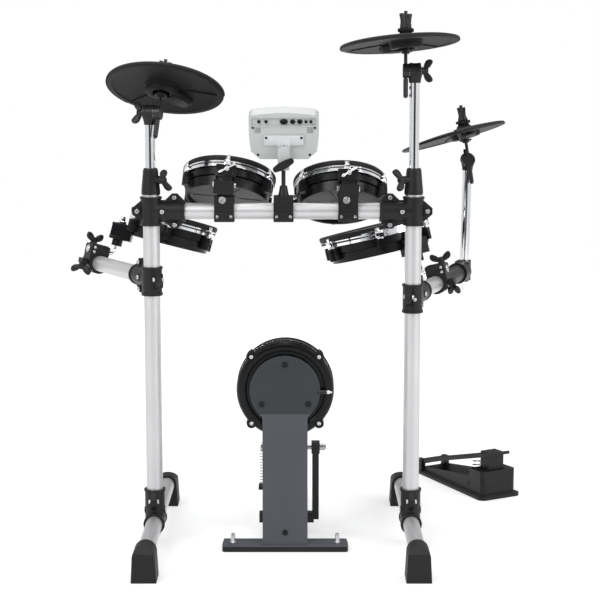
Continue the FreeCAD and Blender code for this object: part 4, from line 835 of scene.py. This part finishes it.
# Tom brackets: face plate, chrome lever and its stud.
def tom_bracket(name, place):
    face = -SMALL_RADIUS - 13.0
    form = Form()
    form.block((-23.5, face - 2.2, -60), (23.5, face + 3.0, -30), place, 1.6, 3)
    form.block((-13.5, face - 1.6, -72), (13.5, face + 1.5, -58), place, 1.4, 3)
    for rib_x in (-19.0, 15.5):
        form.block((rib_x, face - 3.4, -57), (rib_x + 3.5, face - 1.0, -33), place, 0.8)
    form.finish(f"{name}_bracket_face", name, "shell_plastic")
    form = Form()
    stud = place @ moved(1.5, face - 1.5, -40) @ facing
    form.turned([(0, 0), (5.6, 0), (5.6, 2.0), (4.6, 2.8), (4.6, 6.4), (3.8, 7.2), (0, 7.2)], stud, 28)
    lever = stud @ moved(0, 0, 4.6) @ spun(36, "Z") @ spun(90, "Y") @ moved(0, 0, -20)
    form.turned([(0, -2.4), (2.6, -1.8), (3.7, 0), (4.2, 3.0), (3.8, 6.0), (2.7, 9.0), (2.4, 15.0),
                 (2.5, 24.0), (3.2, 32.0), (3.4, 38.0), (2.7, 41.4), (0, 42.0)], lever, 24)
    form.finish(f"{name}_bracket_lever", name, "bright_chrome")


tom_bracket("tom_1", tom_1_place)
tom_bracket("tom_2", tom_2_place)

# Crossbar clamps: ridge, lower jaw and its pins, and a bright screw on each of the two that hold toms.
CLAMP_HALF = 22.9
TOM_CLAMPS = (-138.0, 144.0)
MODULE_CLAMP = -3.0
jaws = Form()
pins = Form()
for clamp_x in (*TOM_CLAMPS, MODULE_CLAMP):
    bar = moved(clamp_x, POST_Y, BAR_Z)
    jaws.block((-CLAMP_HALF, -29.4, 11.5), (CLAMP_HALF, -25.0, 15.5), bar, 1.4, 3)
    jaws.block((-CLAMP_HALF, -29.8, -21.6), (CLAMP_HALF, -25.0, -1.5), bar, 1.8, 3)
    jaws.block((-7.0, -32.2, -19.5), (7.0, -28.0, -4.0), bar, 1.6, 3)
    jaws.block((-CLAMP_HALF, -20.0, -24.0), (CLAMP_HALF, 18.0, -19.6), bar, 1.8, 3)
    jaws.block((-CLAMP_HALF, -20.0, 33.0), (CLAMP_HALF, 18.0, 35.6), bar, 1.2)
    for pin_x in (-15.5, 15.5):
        pins.screw(bar @ moved(pin_x, -29.6, -10.5) @ facing, 3.6, 2.4, 0.5, 20)
    if clamp_x in TOM_CLAMPS:
        pins.turned([(0, 0), (8.0, 0), (8.0, 1.6), (7.4, 2.0), (5.6, 2.0), (5.6, 4.4), (4.8, 5.2),
                     (2.6, 5.2), (2.4, 3.0), (0, 3.0)], bar @ moved(-4.0, -26.8, 27.0) @ facing, 28)
jaws.finish("crossbar_clamp_jaws", "rack", "clamp_plastic")
pins.finish("crossbar_clamp_screws", "rack", "bright_bolt")

# Kick tower: a sheet of painted shade over the disc face, screws in near-black painted shade of their holes,
# and the rounded ring on the back of the shell.
KICK_Z = 377.0
TOWER_FACE = -10.5
DISC_RADIUS = 80.6
FOLD_ANGLE = 42.0
SCREW_CIRCLE = 62
FOOT_SCREW_Z = 45
FOOT_STEP = 10.6
form = Form()
disc_outline = []
disc_steps = 72
for step in range(disc_steps + 1):
    angle = math.radians(-FOLD_ANGLE + (180.0 + 2 * FOLD_ANGLE) * step / disc_steps)
    disc_outline.append((DISC_RADIUS * math.cos(angle), DISC_RADIUS * math.sin(angle)))
# A thin sheet over the disc, darker than the tower's paint. This is painted shade, because the disc has the
# tower's own colour.
form.plate(disc_outline, 1.3, moved(0, TOWER_FACE, KICK_Z) @ facing @ moved(0, 0, -0.4), 0.4)
form.finish("tower_disc_shade_sheet", "rack", "tower_paint", "disc_painted_shade")
form = Form()
dark_head = [(0, 0), (6.4, 0), (6.4, 3.0), (5.8, 3.9), (4.6, 3.9), (4.4, 3.3), (0, 3.3)]
for angle in (90, 210, 330):
    screw_x = SCREW_CIRCLE * math.cos(math.radians(angle))
    screw_z = KICK_Z + SCREW_CIRCLE * math.sin(math.radians(angle))
    form.turned(dark_head, moved(screw_x, TOWER_FACE, screw_z) @ facing, 28)
form.turned(dark_head, moved(0, TOWER_FACE - FOOT_STEP, FOOT_SCREW_Z) @ facing, 24)
form.finish("tower_screws", "rack", "black_steel", "painted_hole_shade")
form = Form()
form.turned([(90, -50), (89, -58), (91, -64.6), (95, -67.2), (101, -68.0), (107, -66.4), (111, -62),
             (112.4, -56), (112, -48.5), (108, -46), (95, -46)], kick_place, 96)
form.finish("kick_back_ring", "rack", "shell_plastic")

# Spur sleeves, jack plug across the gap, and the lug bosses on the back of the kick's shell.
SPUR_X = 121
SPUR_Y = -12.5
PLUG_X = 78
PLUG_GAP = 1.0
PLUG_DROP = 3
form = Form()
for spur_x in (-SPUR_X, SPUR_X):
    form.turned([(0, 15.5), (6.8, 15.5), (7.2, 16.4), (7.2, 20.4), (6.4, 21.4), (4.9, 22), (4.9, 38.4),
                 (4.2, 40.2), (0, 40.4)], moved(spur_x, SPUR_Y, 0), 28)
form.finish("kick_spur_sleeves", "rack", "bright_bolt")
plug = moved(PLUG_X, TOWER_FACE + PLUG_GAP, KICK_Z - PLUG_DROP) @ spun(90, "Y")
form = Form()
form.turned([(0, 0), (5.2, 0), (5.6, 1.0), (5.6, 14.0), (4.8, 15.0), (4.4, 18.0), (0, 18.0)], plug, 28)
form.finish("kick_plug_body", "rack", "black_steel")
form = Form()
form.turned([(0, 17.5), (4.0, 17.5), (5.0, 18.6), (5.0, 23.0), (4.2, 24.0), (3.0, 24.4), (2.8, 29.0),
             (1.8, 30.0), (0, 30.0)], plug, 28)
form.finish("kick_plug_tip", "rack", "bright_chrome")
bosses = Form()
screws = Form()
for angle in kick_angles:
    back = kick_place @ spun(angle, "Z") @ moved(KICK_RADIUS - 3, 0, -63.5) @ spun(180, "X")
    bosses.turned([(0, -4), (10.6, -4), (11.2, -3), (11.2, 4.4), (10.2, 5.6), (7.6, 5.6), (7.0, 3.4),
                   (0, 3.4)], back, 36)
    screws.screw(back @ moved(0, 0, 3.2), 5.0, 2.8)
bosses.finish("kick_lug_bosses", "rack", "shell_plastic")
screws.finish("kick_lug_screws", "rack", "bright_bolt")

# Footboards: each has its heel hinge, and its rise and run give its slope.
PEDAL_HINGE = (2, 436.5, 26)
PEDAL_RISE = 56.0
PEDAL_RUN = 314.0
HAT_ORIGIN = (560, 431.5, 0)
HAT_HEADING = 29.0
HAT_HINGE = (0, 319, 34)
HAT_RISE = 74.0
HAT_RUN = 274.0


def sloped(rise, run):
    return spun(-math.degrees(math.atan2(rise, run)), "X")


def footboard_grip(name, board, rib_half, rib_starts, rib_levels, rail_x, rail_ends, rail_levels):
    """Rubber ribs across a footboard and a rail along each of its edges."""
    rib_wide = 8.0
    rail_half = 1.8
    form = Form()
    low, high = rib_levels
    for toe in rib_starts:
        form.block((-rib_half, toe, low), (rib_half, toe + rib_wide, high), board, 1.0, 3)
    low, high = rail_levels
    toe, heel = rail_ends
    for middle in (-rail_x, rail_x):
        form.block((middle - rail_half, toe, low), (middle + rail_half, heel, high), board, 1.0)
    form.finish(f"{name}_grip_ribs", f"{name}_footboard", "foot_rubber")


pedal_board = moved(*PEDAL_HINGE) @ sloped(PEDAL_RISE, PEDAL_RUN)
pedal_ribs = [-302.0 + 24.0 * rib for rib in range(11)]
footboard_grip("pedal", pedal_board, rib_half=31, rib_starts=pedal_ribs, rib_levels=(3.0, 5.4),
               rail_x=36.5, rail_ends=(-318, -18), rail_levels=(2.6, 5.2))
hat_place = moved(*HAT_ORIGIN) @ spun(HAT_HEADING, "Z")
hat_board = hat_place @ moved(*HAT_HINGE) @ sloped(HAT_RISE, HAT_RUN)
hat_ribs = [-250.0 + 22.0 * rib for rib in range(9)]
footboard_grip("hat", hat_board, rib_half=34, rib_starts=hat_ribs, rib_levels=(3.4, 5.8),
               rail_x=39.5, rail_ends=(-255, -16), rail_levels=(2.8, 5.6))

# Hi-hat pedal base: step above the flange, and the jack hole in its side.
HAT_TOE = 64.0
HAT_HEEL = 48.0
HAT_LONG = 345.0
STEP_LEVEL = 7.4
WALL_INSET = 11.0
JACK_Y = 76.0
JACK_Z = 30


def hat_outline(inset, bend):
    """Plan of the base, narrowing to the heel, with corners rounded by bend."""
    gap = inset + bend
    corners = ((-HAT_TOE + gap, gap, 180), (HAT_TOE - gap, gap, 270), (HAT_HEEL - gap, HAT_LONG - gap, 0),
               (-HAT_HEEL + gap, HAT_LONG - gap, 90))
    outline = []
    for x, y, start in corners:
        for step in range(7):
            angle = math.radians(start + 15 * step)
            outline.append((x + bend * math.cos(angle), y + bend * math.sin(angle)))
    return outline


form = Form()
hat_step = hat_place @ moved(0, 0, STEP_LEVEL)
form.plate(hat_outline(6.5, 14.0), 3.4, hat_step, 0.9)
form.plate(hat_outline(1.2, 17.0), 1.2, hat_step, 0.4)
form.finish("hat_base_step", "rack", "clamp_plastic")
# The jack hole is near-black painted shade over a shallow recess.
form = Form()
jack_x = -(HAT_TOE - WALL_INSET - (HAT_TOE - HAT_HEEL) * JACK_Y / HAT_LONG)
hole = hat_place @ moved(jack_x + 0.2, JACK_Y, JACK_Z) @ spun(-90, "Y")
form.turned([(6.4, -0.4), (6.4, 1.0), (5.8, 1.6), (4.6, 1.6), (4.2, 0.2), (0, 0.2), (0, -0.4)], hole, 28)
form.finish("hat_jack", "rack", "panel_plastic", "painted_hole_shade")


# Wound springs: each fills the box of the spring it replaces and stands on its base.
def coil(name, node_name, wire, turns, slot):
    points = node_points(node_name)
    low = points.min(axis=0) / MILLI
    high = points.max(axis=0) / MILLI
    radius = (min(high[0] - low[0], high[1] - low[1]) - wire) / 2
    height = high[2] - low[2] - wire
    foot = moved((low[0] + high[0]) / 2, (low[1] + high[1]) / 2, low[2] + wire / 2)
    climb = height / (2 * math.pi * turns * radius)
    around = 10
    steps = 28 * turns
    rings = []
    for step in range(steps + 1):
        angle = 2 * math.pi * turns * step / steps
        out = Vector((math.cos(angle), math.sin(angle), 0))
        ahead = Vector((-math.sin(angle), math.cos(angle), climb)).normalized()
        side = ahead.cross(out)
        middle = out * radius + Vector((0, 0, height * step / steps))
        for index in range(around):
            turn = 2 * math.pi * index / around
            rings.append(middle + (out * math.cos(turn) + side * math.sin(turn)) * (wire / 2))
    faces = [list(range(around)), [steps * around + index for index in range(around)]]
    for step in range(steps):
        ring = step * around
        after = ring + around
        for index in range(around):
            following = (index + 1) % around
            faces.append([ring + index, ring + following, after + following, after + index])
    form = Form()
    form.add(rings, faces, foot)
    piece = form.finish(name, None, slot, replaced=[node_name], sharp=60.0)
    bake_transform(piece)


coil("pedal_spring_coil", "pedal_spring", wire=2.2, turns=13, slot="spring_steel")
coil("hat_spring_coil", "hat_spring", wire=1.9, turns=5, slot="black_steel")

# Floor and world, in metres.
FLOOR_HALF = 5.0
FLOOR_DROP = 0.0008
GLOW_NEAR = 0.5
GLOW_FAR = 0.9
GLOW_START = 0.9
GLOW_END = 3.6


def floor_look():
    """Keeps the object's shadow; where it is seen or mirrored it glows, more so far from the object."""
    material = bpy.data.materials.new("floor_white")
    material.use_nodes = True
    tree = material.node_tree
    tree.nodes.clear()
    out = add_node(tree, "OutputMaterial")
    path = add_node(tree, "LightPath")
    plain = add_node(tree, "BsdfDiffuse", Color=(0.8, 0.8, 0.8, 1))
    shade = add_node(tree, "BsdfDiffuse", Color=(0.64, 0.64, 0.64, 1))
    glow = add_node(tree, "Emission")
    reach = add_node(tree, "VectorMath")
    reach.operation = "LENGTH"
    link(tree, add_node(tree, "TexCoord").outputs["Object"], reach.inputs[0])
    level = range_node(tree, reach.outputs["Value"], GLOW_NEAR, GLOW_FAR, GLOW_START, GLOW_END)
    link(tree, level, glow.inputs["Strength"])
    glowing = add_node(tree, "AddShader")
    link(tree, shade.outputs["BSDF"], glowing.inputs[0])
    link(tree, glow.outputs["Emission"], glowing.inputs[1])
    mirrored = math_node(tree, "MAXIMUM", path.outputs["Is Glossy Ray"], path.outputs["Is Transmission Ray"])
    seen = math_node(tree, "MAXIMUM", path.outputs["Is Camera Ray"], mirrored)
    mixed = mix_node(tree, seen, plain.outputs["BSDF"], glowing.outputs["Shader"])
    link(tree, mixed, out.inputs["Surface"])
    return material


def studio_world():
    """White where it is seen, a soft fill for light, and a room with dark ends in reflections."""
    world = bpy.data.worlds.new("studio")
    world.use_nodes = True
    tree = world.node_tree
    tree.nodes.clear()
    out = add_node(tree, "OutputWorld")
    path = add_node(tree, "LightPath")
    seen = add_node(tree, "Background", Color=(1, 1, 1, 1), Strength=1.0)
    fill = add_node(tree, "Background", Color=(0.96, 0.98, 1.0, 1), Strength=0.44)
    mirrored = add_node(tree, "Background", Strength=1.0)
    axes = add_node(tree, "SeparateXYZ")
    link(tree, add_node(tree, "TexCoord").outputs["Generated"], axes.inputs["Vector"])
    depth = range_node(tree, axes.outputs["Y"], 0.0, 1.0, -1.0, 1.0)
    stops = [(0.0, (0.02, 0.02, 0.025)), (0.014, (0.04, 0.04, 0.045)), (0.06, (0.7, 0.71, 0.72)),
             (0.2, (0.95, 0.95, 0.95)), (0.45, (0.66, 0.66, 0.68)), (0.62, (0.95, 0.95, 0.95)),
             (0.84, (0.92, 0.92, 0.92)), (0.95, (0.36, 0.36, 0.38)), (1.0, (0.05, 0.05, 0.055))]
    link(tree, ramp_node(tree, depth, stops), mirrored.inputs["Color"])
    unseen = mix_node(tree, path.outputs["Is Glossy Ray"], fill.outputs["Background"],
                      mirrored.outputs["Background"])
    shown = math_node(tree, "MAXIMUM", path.outputs["Is Camera Ray"], path.outputs["Is Transmission Ray"])
    mixed = mix_node(tree, shown, unseen, seen.outputs["Background"])
    link(tree, mixed, out.inputs["Surface"])
    return world


floor_mesh = bpy.data.meshes.new("floor")
corner_signs = ((-1, -1), (1, -1), (1, 1), (-1, 1))
floor_corners = [(x * FLOOR_HALF, y * FLOOR_HALF, 0) for x, y in corner_signs]
floor_mesh.from_pydata(floor_corners, [], [(0, 1, 2, 3)])
floor_mesh.materials.append(floor_look())
floor = bpy.data.objects.new("floor", floor_mesh)
floor.location = (0, 0, -FLOOR_DROP)
scene.collection.objects.link(floor)
scene.world = studio_world()


# Soft studio lamps, in metres and watts.
def area_light(name, location, target, width, height, power):
    data = bpy.data.lights.new(name, "AREA")
    data.shape = "RECTANGLE"
    data.size = width
    data.size_y = height
    data.energy = power
    light = bpy.data.objects.new(name, data)
    light.location = location
    aim = Vector(target) - Vector(location)
    light.rotation_euler = aim.to_track_quat("-Z", "Y").to_euler()
    scene.collection.objects.link(light)


area_light("key_light", (-2.2, -3.0, 3.2), (0, 0.1, 0.6), width=2.2, height=2.2, power=92)
area_light("side_light", (3.0, -1.6, 2.2), (0, 0.1, 0.6), width=1.4, height=2.4, power=50)
area_light("top_light", (0.0, 0.6, 4.2), (0, 0.2, 0.4), width=3.2, height=3.2, power=78)
